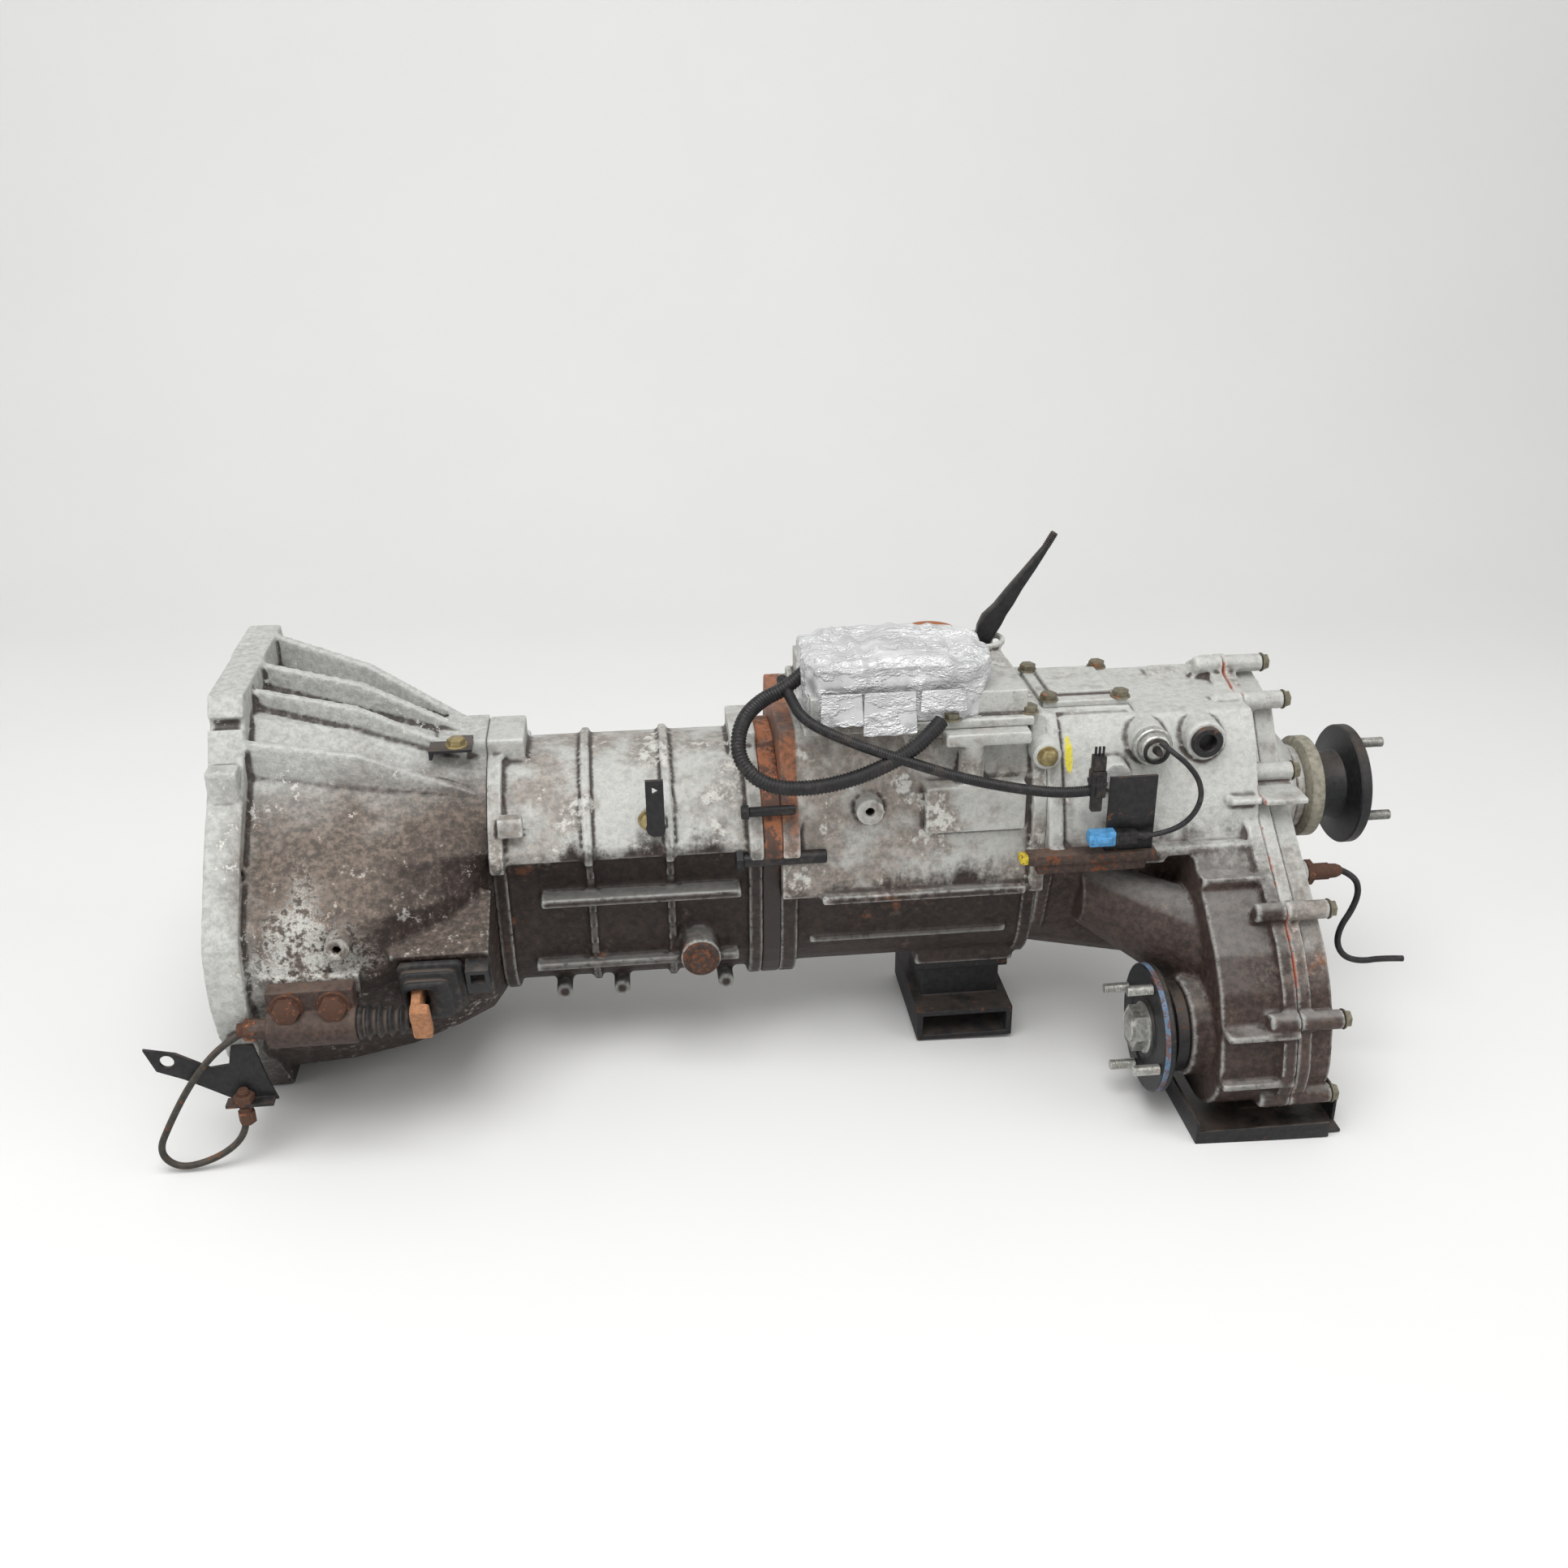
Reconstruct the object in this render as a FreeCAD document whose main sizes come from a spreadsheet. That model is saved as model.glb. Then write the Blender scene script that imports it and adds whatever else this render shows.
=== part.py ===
import FreeCAD, Part
import math
import os
import re

# Five-speed gearbox with its two-speed transfer case.
# Millimetres. The origin lies on the main shaft's axis in the engine face of the clutch housing.
# +X runs to the rear output, +Z is up, and -Y is the side of the slave cylinder.

os.makedirs("parts", exist_ok=True)
doc = FreeCAD.newDocument("Gearbox")
Vector = FreeCAD.Vector

# Driving sizes
SIZES = {
    # stations along the main axis, from the engine face
    "bell_flange": 30, "bell_rear": 230, "bell_wall": 8, "bell_back": 14,
    "case_rear": 475, "plate_thick": 17, "adapter_rear": 735, "split_face": 935,
    "cover_depth": 36, "cover_rear": 998,
    "flange_face": 1069, "flange_thick": 11,
    # section of the gear case
    "case_half": 100, "case_top": 86, "ledge_top": 22, "ledge_thick": 10, "side_half": 80,
    "shaft_drop": 84, "counter_room": 70, "case_wall": 8, "joint_rim": 8, "joint_thick": 13,
    "rib_thick": 7, "rib_high": 5,
    # front output axis
    "drop_y": -176, "drop_z": -154,
    # shafts, bearings and seals
    "fit": 0.05, "gap": 0.3,
    "pilot_radius": 7.5, "pilot_front": 18, "pilot_rear": 7, "spline_teeth": 12,
    "spline_end": 62, "input_radius": 13.5, "sleeve_radius": 19, "sleeve_wall": 3.5,
    "input_journal": 20, "input_bearing": 36, "input_bearing_wide": 16,
    "main_journal": 18, "main_bearing": 38, "counter_radius": 15,
    "counter_journal": 14, "counter_bearing": 29,
    "gear_bore": 20, "hub_radius": 26, "sleeve_outer": 38, "sleeve_wide": 20, "groove_wide": 7.4,
    "groove_deep": 5,
    # gear faces
    "gear_wide": 20,
    # rails and forks
    "rail_radius": 5, "rail_height": 66, "range_height": 56, "rail_pitch": 17, "fork_thick": 6.6,
    # output flanges
    "out_flange": 59, "stud_circle": 50.5, "stud_radius": 5, "stud_long": 24, "stud_angle": 15,
    "hub_outer": 33, "out_shaft": 17, "nut_across": 38, "nut_high": 12,
    "front_face": 818, "front_bearing": 34,
    # chain
    "sprocket_wide": 22, "chain_thick": 9, "chain_wide": 21,
    "chain_station": 903,
    # clutch release parts
    "fork_angle": 200.1, "fork_reach": 226, "fork_wide": 30, "fork_plate": 8, "fork_station": 164,
    "pivot_reach": 80, "ball_radius": 8, "bearing_inner": 19.05, "bearing_outer": 37,
    "bearing_wide": 26, "slave_y": -205, "slave_z": -75, "slave_radius": 17, "slave_front": 46,
    "slave_rear": 120, "bellows_rear": 163, "rod_radius": 4,
    "chain_pitch": 22, "boss_long": 40,
    # bell
    "bell_land": 10, "rib_swell": 12, "rib_deep": 60, "rib_wide": 9,
    # plugs, sensor and switch
    "plug_radius": 13, "sensor_radius": 15, "sensor_x": 830, "switch_x": 882, "sensor_z": 94,
    "sensor_face": 92, "rear_plug_y": -110, "rear_plug_z": -38, "seal_outer": 50,
    # mount
    "mount_front": 628, "mount_seat": 153,
    # bolts
    "bolt_head": 8, "bolt_high": 6, "bolt_shank": 4, "bolt_reach": 12,
    # levers
    "lever_x": 700, "lever_y": 44, "lever_z": 136, "lever_ball": 12, "lever_room": 19,
    "finger_low": 70, "finger_ball": 5.5, "finger_stem": 3.2, "cap_x": 650,
    # control housing and covers
    "control_top": 150, "adapter_top": 118, "transfer_top": 112,
    # skid
    "skid_low": 240, "skid_sheet": 3,
    # largest turn of one chord on a rounded casting
    "facet": 15,
}

sheet = doc.addObject("Spreadsheet::Sheet", "Sizes")
for row, (alias, value) in enumerate(SIZES.items(), 1):
    sheet.set(f"A{row}", alias)
    sheet.set(f"B{row}", str(value))
    sheet.setAlias(f"B{row}", alias)
doc.recompute()


class Size:
    """The sheet's numbers, read by alias."""

    def __getattr__(self, alias):
        return float(sheet.get(alias))


d = Size()
ALONG = {
    "X": FreeCAD.Rotation(Vector(0, 1, 0), 90),
    "-X": FreeCAD.Rotation(Vector(0, 1, 0), -90),
    "Y": FreeCAD.Rotation(Vector(1, 0, 0), -90),
    "-Y": FreeCAD.Rotation(Vector(1, 0, 0), 90),
    "Z": FreeCAD.Rotation(),
    "-Z": FreeCAD.Rotation(Vector(1, 0, 0), 180),
}
nodes = []


def link(text):
    """An expression on the sheet, from one written with bare aliases."""
    return re.sub(r"[a-z][a-z_]*", lambda w: "Sizes." + w[0] if w[0] in SIZES else w[0], str(text))


def bind(thing, **sizes):
    for name, text in sizes.items():
        thing.setExpression(name, link(text))
    return thing


def place(thing, at, along="Z"):
    turn = ALONG[along] if isinstance(along, str) else FreeCAD.Rotation(Vector(0, 0, 1), Vector(*along))
    thing.Placement = FreeCAD.Placement(Vector(), turn)
    for axis, text in zip("xyz", at):
        thing.setExpression("Placement.Base." + axis, link(text))
    return thing


def cylinder(radius, height, at, along="X", name="Round"):
    thing = bind(doc.addObject("Part::Cylinder", name), Radius=radius, Height=height)
    return place(thing, at, along)


def prism(radius, height, at, along="X", sides=12, name="Post"):
    """A round form that needs no true circle, or a hex, by its number of sides."""
    thing = bind(doc.addObject("Part::Prism", name), Circumradius=radius, Height=height)
    thing.Polygon = sides
    return place(thing, at, along)


def hexagon(radius, height, at, along="X", name="Hex"):
    return prism(radius, height, at, along, 6, name)


def box(size, at, name="Block"):
    thing = doc.addObject("Part::Box", name)
    bind(thing, Length=size[0], Width=size[1], Height=size[2])
    return place(thing, at)


def fuse(parts, name="Joined"):
    thing = doc.addObject("Part::MultiFuse", name)
    thing.Shapes = parts
    thing.Refine = True
    return thing


def cut(base, tools, name="Hollowed"):
    thing = doc.addObject("Part::Cut", name)
    thing.Base = base
    thing.Tool = tools[0] if len(tools) == 1 else fuse(tools)
    thing.Refine = True
    return thing


def group(parts, name="Set"):
    thing = doc.addObject("Part::Compound", name)
    thing.Links = parts
    return thing


def node(thing, label):
    thing.Label = label
    nodes.append(thing)
    return thing


def solid(shape, name="Form"):
    thing = doc.addObject("Part::Feature", name)
    thing.Shape = shape
    return thing


def outline_points(path):
    """The corners of an outline in the YZ plane. A point is (y, z), and an arc is (through y, z, to y, z).
    An arc becomes chords, each turning by at most one facet."""
    corners = [Vector(0, *path[0])]
    for step in path[1:] + [path[0]]:
        end = Vector(0, *step[-2:])
        if len(step) == 4:
            arc = Part.Arc(corners[-1], Vector(0, *step[:2]), end)
            turn = math.degrees(arc.LastParameter - arc.FirstParameter)
            corners += arc.discretize(Number=max(2, math.ceil(turn / d.facet)) + 1)[1:]
        elif end.distanceToPoint(corners[-1]) > 0.001:
            corners.append(end)
    return corners


def outline_wire(path, grow=0.0):
    """The closed wire of an outline, moved outwards by so much, or inwards where that is negative."""
    corners = outline_points(path)[:-1]
    if not grow:
        return Part.makePolygon(corners + corners[:1])
    area = sum(a.y * b.z - b.y * a.z for a, b in zip(corners, corners[1:] + corners[:1]))
    side = grow if area > 0 else -grow
    moved = []
    for before, corner, after in zip(corners[-1:] + corners[:-1], corners, corners[1:] + corners[:1]):
        first = (corner - before).normalize()
        second = (after - corner).normalize()
        out = Vector(0, first.z + second.z, -first.y - second.y)
        moved.append(corner + out * (side / (1 + first.dot(second))))
    return Part.makePolygon(moved + moved[:1])


def slab(path, start, length, grow=0.0, name="Slab"):
    """The outline, grown by so much, made solid from start over length along X."""
    face = solid(Part.Face(outline_wire(path, grow)), "Outline")
    place(face, (start, 0, 0))
    thing = doc.addObject("Part::Extrusion", name)
    thing.Base = face
    thing.DirMode = "Custom"
    thing.Dir = Vector(1, 0, 0)
    thing.Solid = True
    return bind(thing, LengthFwd=length)


def turned(profile, at=("0", "0", "0"), name="Spindle"):
    """A body revolved about its own X axis. The profile's (x, radius) pairs are expressions."""
    import Sketcher
    body = doc.addObject("PartDesign::Body", name)
    sketch = body.newObject("Sketcher::SketchObject", name + "Profile")
    plane = [f for f in body.Origin.OriginFeatures if f.Role == "XZ_Plane"][0]
    sketch.AttachmentSupport = (plane, [""])
    sketch.MapMode = "FlatFace"
    count = len(profile)
    rough = [(10.0 * i, 5.0 + 3.0 * (i % 2)) for i in range(count)]
    for i in range(count):
        first, second = rough[i], rough[(i + 1) % count]
        sketch.addGeometry(Part.LineSegment(Vector(*first, 0), Vector(*second, 0)), False)
    for i in range(count):
        sketch.addConstraint(Sketcher.Constraint("Coincident", i, 2, (i + 1) % count, 1))
    for i, (along, radius) in enumerate(profile):
        for kind, text, value in (("DistanceX", along, rough[i][0]), ("DistanceY", radius, rough[i][1])):
            number = sketch.addConstraint(Sketcher.Constraint(kind, -1, 1, i, 1, value))
            sketch.setExpression(f"Constraints[{number}]", link(text))
    spin = body.newObject("PartDesign::Revolution", name + "Turn")
    spin.Profile = sketch
    spin.ReferenceAxis = (sketch, ["H_Axis"])
    spin.Angle = 360
    return place(body, at)


def stepped(steps, at=("0", "0", "0"), name="Shaft", bore=None):
    """A stepped shaft: (start, end, radius) in order along X, on one body."""
    low = bore if bore else "0"
    profile = [(steps[0][0], low)]
    for number, (start, end, radius) in enumerate(steps):
        if number and steps[number - 1][2] == radius:
            profile[-1] = (end, radius)
        else:
            profile += [(start, radius), (end, radius)]
    profile.append((steps[-1][1], low))
    return turned(profile, at, name)


def faceted(steps, at=("0", "0"), sides=16, name="Spindle"):
    """A stepped shaft of prisms: (start, end, radius) in order along X."""
    return [prism(radius, f"{end} - ({start})", (start, *at), "X", sides, name)
            for start, end, radius in steps]


def regular(inner, sides):
    """A regular polygon about the X axis whose flats lie at the inner radius."""
    reach = inner / math.cos(math.pi / sides)
    corners = [Vector(0, reach * math.cos(2 * math.pi * i / sides), reach * math.sin(2 * math.pi * i / sides))
               for i in range(sides)]
    return Part.makePolygon(corners + corners[:1])


def skin(rings):
    """A solid through rings of corners, matched one to one, with flat triangles for sides."""
    faces = []
    for low, high in zip(rings, rings[1:]):
        for i in range(len(low)):
            j = (i + 1) % len(low)
            for a, b, c in ((low[i], low[j], high[j]), (low[i], high[j], high[i])):
                faces.append(Part.Face(Part.makePolygon([a, b, c, a])))
    for ring_line in (rings[0], rings[-1]):
        faces.append(Part.Face(Part.makePolygon(ring_line + ring_line[:1])))
    shell = Part.makeShell(faces)
    shell.sewShape()
    form = Part.Solid(shell)
    if form.Volume < 0:
        form.reverse()
    return form


def round_ring(x, y, z, radius, sides):
    """The corners of a regular polygon across X."""
    turns = [2 * math.pi * i / sides for i in range(sides)]
    return [Vector(x, y + radius * math.cos(turn), z + radius * math.sin(turn)) for turn in turns]


def rounded_cone(stations, sides, name):
    """A taper through (x, y, z, radius) stations along X."""
    return solid(skin([round_ring(*station, sides) for station in stations]), name)


def facet_ball(radius, x, y, z, sides=10):
    """A ball of flat faces, its rings stacked along X."""
    stations = []
    for step in range(1, sides // 2):
        turn = 2 * math.pi * step / sides
        stations.append((x - radius * math.cos(turn), y, z, radius * math.sin(turn)))
    ends = [(x + way * radius, y, z, 0.2 * radius) for way in (-1, 1)]
    return rounded_cone([ends[0], *stations, ends[1]], sides, "Ball")


# Tooth rims: straight-flanked teeth, thinned so that a meshed pair turns freely
def toothed(teeth, module, start, width, at=(0, 0), phase=90.0, bore=0.0, name="Gear"):
    pitch = module * teeth / 2
    tip = pitch + 0.78 * module
    root = pitch - 1.02 * module
    step = 2 * math.pi / teeth
    half_tip = 0.105 * step
    half_root = 0.30 * step
    corners = []
    for tooth in range(teeth):
        middle = math.radians(phase) + tooth * step
        for radius, angle in ((root, -half_root), (tip, -half_tip), (tip, half_tip), (root, half_root)):
            corners.append(Vector(0, radius * math.cos(middle + angle), radius * math.sin(middle + angle)))
    face = Part.Face(Part.makePolygon(corners + corners[:1]))
    if bore:
        face = face.cut(Part.Face(regular(bore, 20)))
    profile = solid(face, "Teeth")
    place(profile, (start, at[0], at[1]))
    thing = doc.addObject("Part::Extrusion", name)
    thing.Base = profile
    thing.DirMode = "Custom"
    thing.Dir = Vector(1, 0, 0)
    thing.Solid = True
    return bind(thing, LengthFwd=width)


def cable(points, radius, sides, name="Cable"):
    """A round cable through the points, with its corners rounded by tangent arcs.
    Rings of corners stand at the ends of the straight runs, and along each arc a facet apart at most."""
    points = [Vector(*p) for p in points]
    stops = [(points[0], (points[1] - points[0]).normalize())]
    length = 0.0
    tightest = 1e9
    last = points[0]
    for before, corner, after in zip(points, points[1:], points[2:]):
        into = (corner - before).normalize()
        out = (after - corner).normalize()
        turn = into.getAngle(out)
        reach = 0.45 * min((before - corner).Length, (after - corner).Length)
        bend = reach / math.tan(turn / 2)
        tightest = min(tightest, bend)
        first = corner - into * reach
        side = (out - into * into.dot(out)).normalize()
        chords = max(1, math.ceil(math.degrees(turn) / d.facet))
        for number in range(chords + 1):
            part = turn * number / chords
            at = first + into * (bend * math.sin(part)) + side * (bend * (1 - math.cos(part)))
            stops.append((at, into * math.cos(part) + side * math.sin(part)))
        length += (first - last).Length + bend * turn
        last = corner + out * reach
    stops.append((points[-1], (points[-1] - points[-2]).normalize()))
    length += (points[-1] - last).Length
    up = stops[0][1].cross(Vector(0, 1, 0)).normalize()
    rings = []
    for at, way in stops:
        up = (up - way * up.dot(way)).normalize()
        across = way.cross(up)
        turns = [2 * math.pi * i / sides for i in range(sides)]
        rings.append([at + up * (radius * math.cos(t)) + across * (radius * math.sin(t)) for t in turns])
    form = skin(rings)
    wanted = sides / 2 * math.sin(2 * math.pi / sides) * radius ** 2 * length
    ratio = form.Volume / wanted
    print(f"{name}: length {length:.0f}, tightest bend {tightest:.1f}, volume ratio {ratio:.4f}")
    return solid(form, name)


def polar(angle, reach, x=0.0):
    """A point at an angle from +Y towards +Z and a distance from the main axis."""
    return (x, reach * math.cos(math.radians(angle)), reach * math.sin(math.radians(angle)))


def reach_of(corners, angle):
    """How far an outline's corners lie from the main axis in one direction."""
    way = Vector(*polar(angle, 1))
    for a, b in zip(corners, corners[1:]):
        span = b - a
        across = way.y * span.z - way.z * span.y
        if abs(across) < 1e-9:
            continue
        far = (a.y * span.z - a.z * span.y) / across
        share = (a.y * way.z - a.z * way.y) / across
        if far > 0 and -1e-9 <= share <= 1 + 1e-9:
            return far
    raise ValueError(f"the outline isn't closed at {angle} degrees")


# Outlines of the castings
def case_outline():
    half, top = d.case_half, d.case_top
    low = d.ledge_top - d.ledge_thick
    side, room, drop = d.side_half, d.counter_room, d.shaft_drop
    return [
        (-half, d.ledge_top), (0, top, half, d.ledge_top), (half, low), (side, low - 8),
        (room, -drop), (0, -drop - room, -room, -drop), (-side, low - 8), (-half, low),
    ]


BELL_OUTLINE = [
    (-54, 168), (126, 172), (150, 116), (184, 50), (203, -55, 139, -152), (95, -208),
    (-95, -208), (-139, -152), (-203, -55, -199, -2), (-180, 21), (-144, 63), (-94, 108), (-71, 144),
]
ADAPTER_OUTLINE = [
    (-100, -30), (-96, 44), (-80, 92), (-72, 118), (72, 118), (88, 60), (92, -30), (78, -44),
    (68, -96), (0, -152, -68, -96), (-78, -44), (-100, -40),
]
TRANSFER_OUTLINE = [
    (-112, 2), (-104, 34), (-80, 90), (-62, 112), (60, 112), (86, 60), (94, -20), (66, -92),
    (0, -134, -66, -92), (-86, -30), (-112, -8),
]
CHAIN_OUTLINE = [
    (47, 123), (-5, 110), (-30, 101), (-70, 46), (-179, -41), (-231, -100, -248, -160),
    (-228, -212, -176, -230), (-148, -226, -124, -208), (57, -65), (94, 15, 80, 104),
]
COVER_BOLTS = ((24, 124), (-34, 108), (-74, 52), (-183, -36), (-240, -116), (-238, -196), (-150, -226))
FORK = d.fork_angle


def along_fork(shape):
    """A shape drawn about the +Y axis, turned to the release fork's own angle."""
    shape.rotate(Vector(), Vector(1, 0, 0), FORK)
    return shape


# Clutch housing
BELL_SIDES = 24


def bell_section(x, inset):
    """The bell's corners at a station: the flange's outline, drawn in towards the gear case's.
    The lower half keeps its width for longer, as an ellipse does, and the top slopes all the way."""
    front = outline_points(BELL_OUTLINE)
    rear = outline_points(case_outline())
    share = max(0.0, (x - d.bell_flange) / (d.bell_rear - d.bell_flange))
    low = 1 - math.sqrt(max(0.0, 1 - share ** 2))
    high = 0.25 + 0.75 * share
    corners = []
    for number in range(BELL_SIDES):
        angle = 360 * number / BELL_SIDES
        top = min(1.0, max(0.0, (math.sin(math.radians(angle)) + 0.1) / 0.7))
        drawn = low * (1 - top) + high * top
        near, far = reach_of(front, angle) - d.bell_land, reach_of(rear, angle) + d.joint_rim
        corners.append(Vector(*polar(angle, near + (far - near) * drawn - inset, x)))
    return corners


def bell_form(stations, inset):
    return solid(skin([bell_section(x, inset) for x in stations]), "Bell")


def bell_rib(start, end):
    middle = (start + end) * 0.5 + Vector(0, 0, d.rib_swell)
    down = Vector(0, 0, -d.rib_deep)
    side = Vector(end.y - start.y, start.x - end.x, 0).normalize() * (d.rib_wide / 2)
    line = [start, middle, end, end + down, start + down, start]
    face = Part.Face(Part.makePolygon([p - side for p in line]))
    return solid(face.extrude(side * 2), "Rib")


def clutch_housing():
    rear, back = d.bell_rear, d.bell_rear - d.bell_back
    stations = (0, d.bell_flange, 90, 145, 190, 216, rear)
    body = bell_form(stations, 0)
    inner = bell_form((-2,) + stations[1:5] + (back,), d.bell_wall)
    parts = [slab(BELL_OUTLINE, 0, "bell_flange"), body]
    ribs = (
        ((26, 104, 170), (214, 30, 100)), ((26, 34, 166), (214, 0, 104)),
        ((26, -16, 160), (212, -34, 98)), ((26, -74, 134), (222, -70, 72)),
        ((26, 146, 112), (218, 80, 66)),
    )
    parts += [bell_rib(Vector(*start), Vector(*end)) for start, end in ribs]
    parts.append(box((42, 64, 26), (188, -34, 80), "Top pad"))
    parts.append(box((78, 57, 24), ("slave_front - 2", "slave_y + 13 + gap", -60), "Slave pad"))
    hood = Part.makeBox(84, 74, 66, Vector(146, 104, -33))
    parts.append(solid(along_fork(hood), "Hood"))
    parts.append(prism(11, 44, (107, -192, -12), "Y", 12, "Boss"))
    parts.append(box((26, 20, 34), (2, -112, 86), "Lug"))
    parts.append(prism(14, 53, (20, -203, -98), "Y", 12, "Low lug"))
    tools = [inner]
    for y, z in ((-146, 40), (-66, 146), (112, 156), (186, 20), (-97, -190.5), (97, -190.5)):
        tools.append(cylinder("stud_radius + 0.5", "bell_flange + 2", (-1, y, z), "X", "Bolt hole"))
    tools.append(prism(3, 18, (15, -113, 103), "Y"))
    tools.append(prism(4, 24, (107, -193, -12), "Y"))
    tools.append(prism("input_bearing", "bell_back + 2", ("bell_rear - bell_back - 1", 0, 0), "X", 20))
    window = Part.makeBox(54, 120, 50, Vector(152, 96, -25))
    tools.append(solid(along_fork(window), "Window"))
    return node(cut(fuse(parts), tools), "clutch_housing")


# Gear case, centre plate and adapter
def gearbox_case():
    outline = case_outline()
    parts = [slab(outline, "bell_rear", "case_rear - bell_rear")]
    parts.append(slab(outline, "bell_rear", "joint_thick", d.joint_rim))
    parts.append(slab(outline, "case_rear - joint_thick", "joint_thick", d.joint_rim))
    for station in (314, 387):
        parts.append(slab(outline, station, "rib_thick", d.rib_high))
    for side in (-1, 1):
        parts.append(box((182, 24, 8), (272, side * 86 - 12, -36), "Lower rib"))
        parts.append(box((190, 12, 7), (262, side * 74 - 6, -112), "Sump rib"))
        parts.append(box((22, 14, 18), (240, side * 98 - 7, 40), "Lug"))
    parts.append(box((34, 60, 24), ("bell_rear", -30, 80), "Top pad"))
    parts.append(box((24, 70, 26), ("case_rear - 24", -36, 76), "Rear pad"))
    parts.append(prism(19, 50, (415, -100, -96), "Y", 14, "Filler boss"))
    for station in (285, 340, 440):
        parts.append(prism(8, 34, (station, -60, -148), "Y", 10, "Foot boss"))
    parts.append(prism(9, 24, (379, -103, 44), "Y", 10, "Tab boss"))
    room = "case_rear - bell_rear"
    seat = "bell_rear + input_bearing_wide"
    tools = [
        prism("case_top - case_wall - 1", room, (seat, 0, 0), "X", 24),
        prism("counter_room - case_wall + 1", room, (seat, 0, "-shaft_drop"), "X", 24),
        box((room, 124, "shaft_drop"), (seat, -62, "-shaft_drop")),
        prism("input_bearing", 20, ("bell_rear - 1", 0, 0), "X", 20),
        prism("counter_bearing", 13, ("bell_rear + 4", 0, "-shaft_drop"), "X", 20),
        prism("plug_radius", 30, (415, -101, -96), "Y", 6),
    ]
    return node(cut(fuse(parts), tools), "gearbox_case")


def centre_plate():
    plate = slab(case_outline(), "case_rear", "plate_thick", d.joint_rim)
    depth = "plate_thick + 2"
    tools = [
        prism("main_bearing", depth, ("case_rear - 1", 0, 0), "X", 20),
        prism("counter_bearing", depth, ("case_rear - 1", 0, "-shaft_drop"), "X", 20),
    ]
    for lane in (-1, 0, 1):
        at = ("case_rear - 1", f"{lane} * rail_pitch", "rail_height")
        tools.append(prism("rail_radius + gap", depth, at))
    return node(cut(plate, tools), "centre_plate")


def adapter_housing():
    start = "case_rear + plate_thick"
    parts = [
        slab(ADAPTER_OUTLINE, start, "adapter_rear - case_rear - plate_thick"),
        slab(case_outline(), start, "joint_thick + 3", d.joint_rim),
        slab(ADAPTER_OUTLINE, "adapter_rear - joint_thick", "joint_thick", 5),
        box((190, 18, 8), (528, -108, -44), "Shelf"),
        box((190, 14, 7), (520, -72, -104), "Low rib"),
        box((92, 40, 46), (622, -106, 22), "Bulge"),
        prism(13, 20, (571, -108, 48), "Y", 12, "Plug boss"),
        box((78, 40, 12), (638, -106, 106), "Bolt shelf"),
        prism(12, 60, (664, -94, 50), "Z", 12, "Shelf post"),
        box((98, 90, 40), ("mount_front", -45, "-mount_seat"), "Mount seat"),
    ]
    room = "adapter_rear - case_rear - plate_thick - 14"
    tools = [
        prism("case_top - case_wall - 1", room, (f"{start} - 1", 0, 0), "X", 20),
        prism("counter_room - case_wall - 2", 110, (f"{start} - 1", 0, "-shaft_drop"), "X", 16),
        box((110, 100, "shaft_drop"), (f"{start} - 1", -50, "-shaft_drop")),
        box((186, 112, 90), (530, -52, 40), "Lever opening"),
        prism("main_bearing", 20, ("adapter_rear - 17", 0, 0), "X", 20),
        box((20, 68, 60), ("adapter_rear - 19", -9, "range_height - 8"), "Rail window"),
        prism(4.5, 22, (571, -109, 48), "Y"),
    ]
    return node(cut(fuse(parts), tools), "adapter_housing")


def control_housing():
    top = "control_top - adapter_top"
    parts = [
        box((196, 146, top), (520, -84, "adapter_top"), "Lid"),
        box((208, 160, 9), (513, -92, "adapter_top"), "Lid rim"),
        prism(30, 12, ("cap_x", "lever_y - 4", "control_top"), "Z", 18, "Rear turret"),
        prism(24, 6, ("lever_x", "lever_y", "control_top"), "Z", 18, "Lever turret"),
    ]
    tools = [
        box((144, 130, 30), (532, -72, "adapter_top - 5"), "Lid room"),
        prism("(lever_ball + gap) / cos(10)", 50, ("lever_x", "lever_y", "adapter_top - 1"), "Z", 18),
        prism("lever_room", 30, ("lever_x", "lever_y", "lever_z + 6"), "Z", 18),
        prism(20, 60, ("cap_x", "lever_y - 4", "adapter_top"), "Z", 18),
    ]
    return node(cut(fuse(parts), tools), "control_housing")


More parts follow.
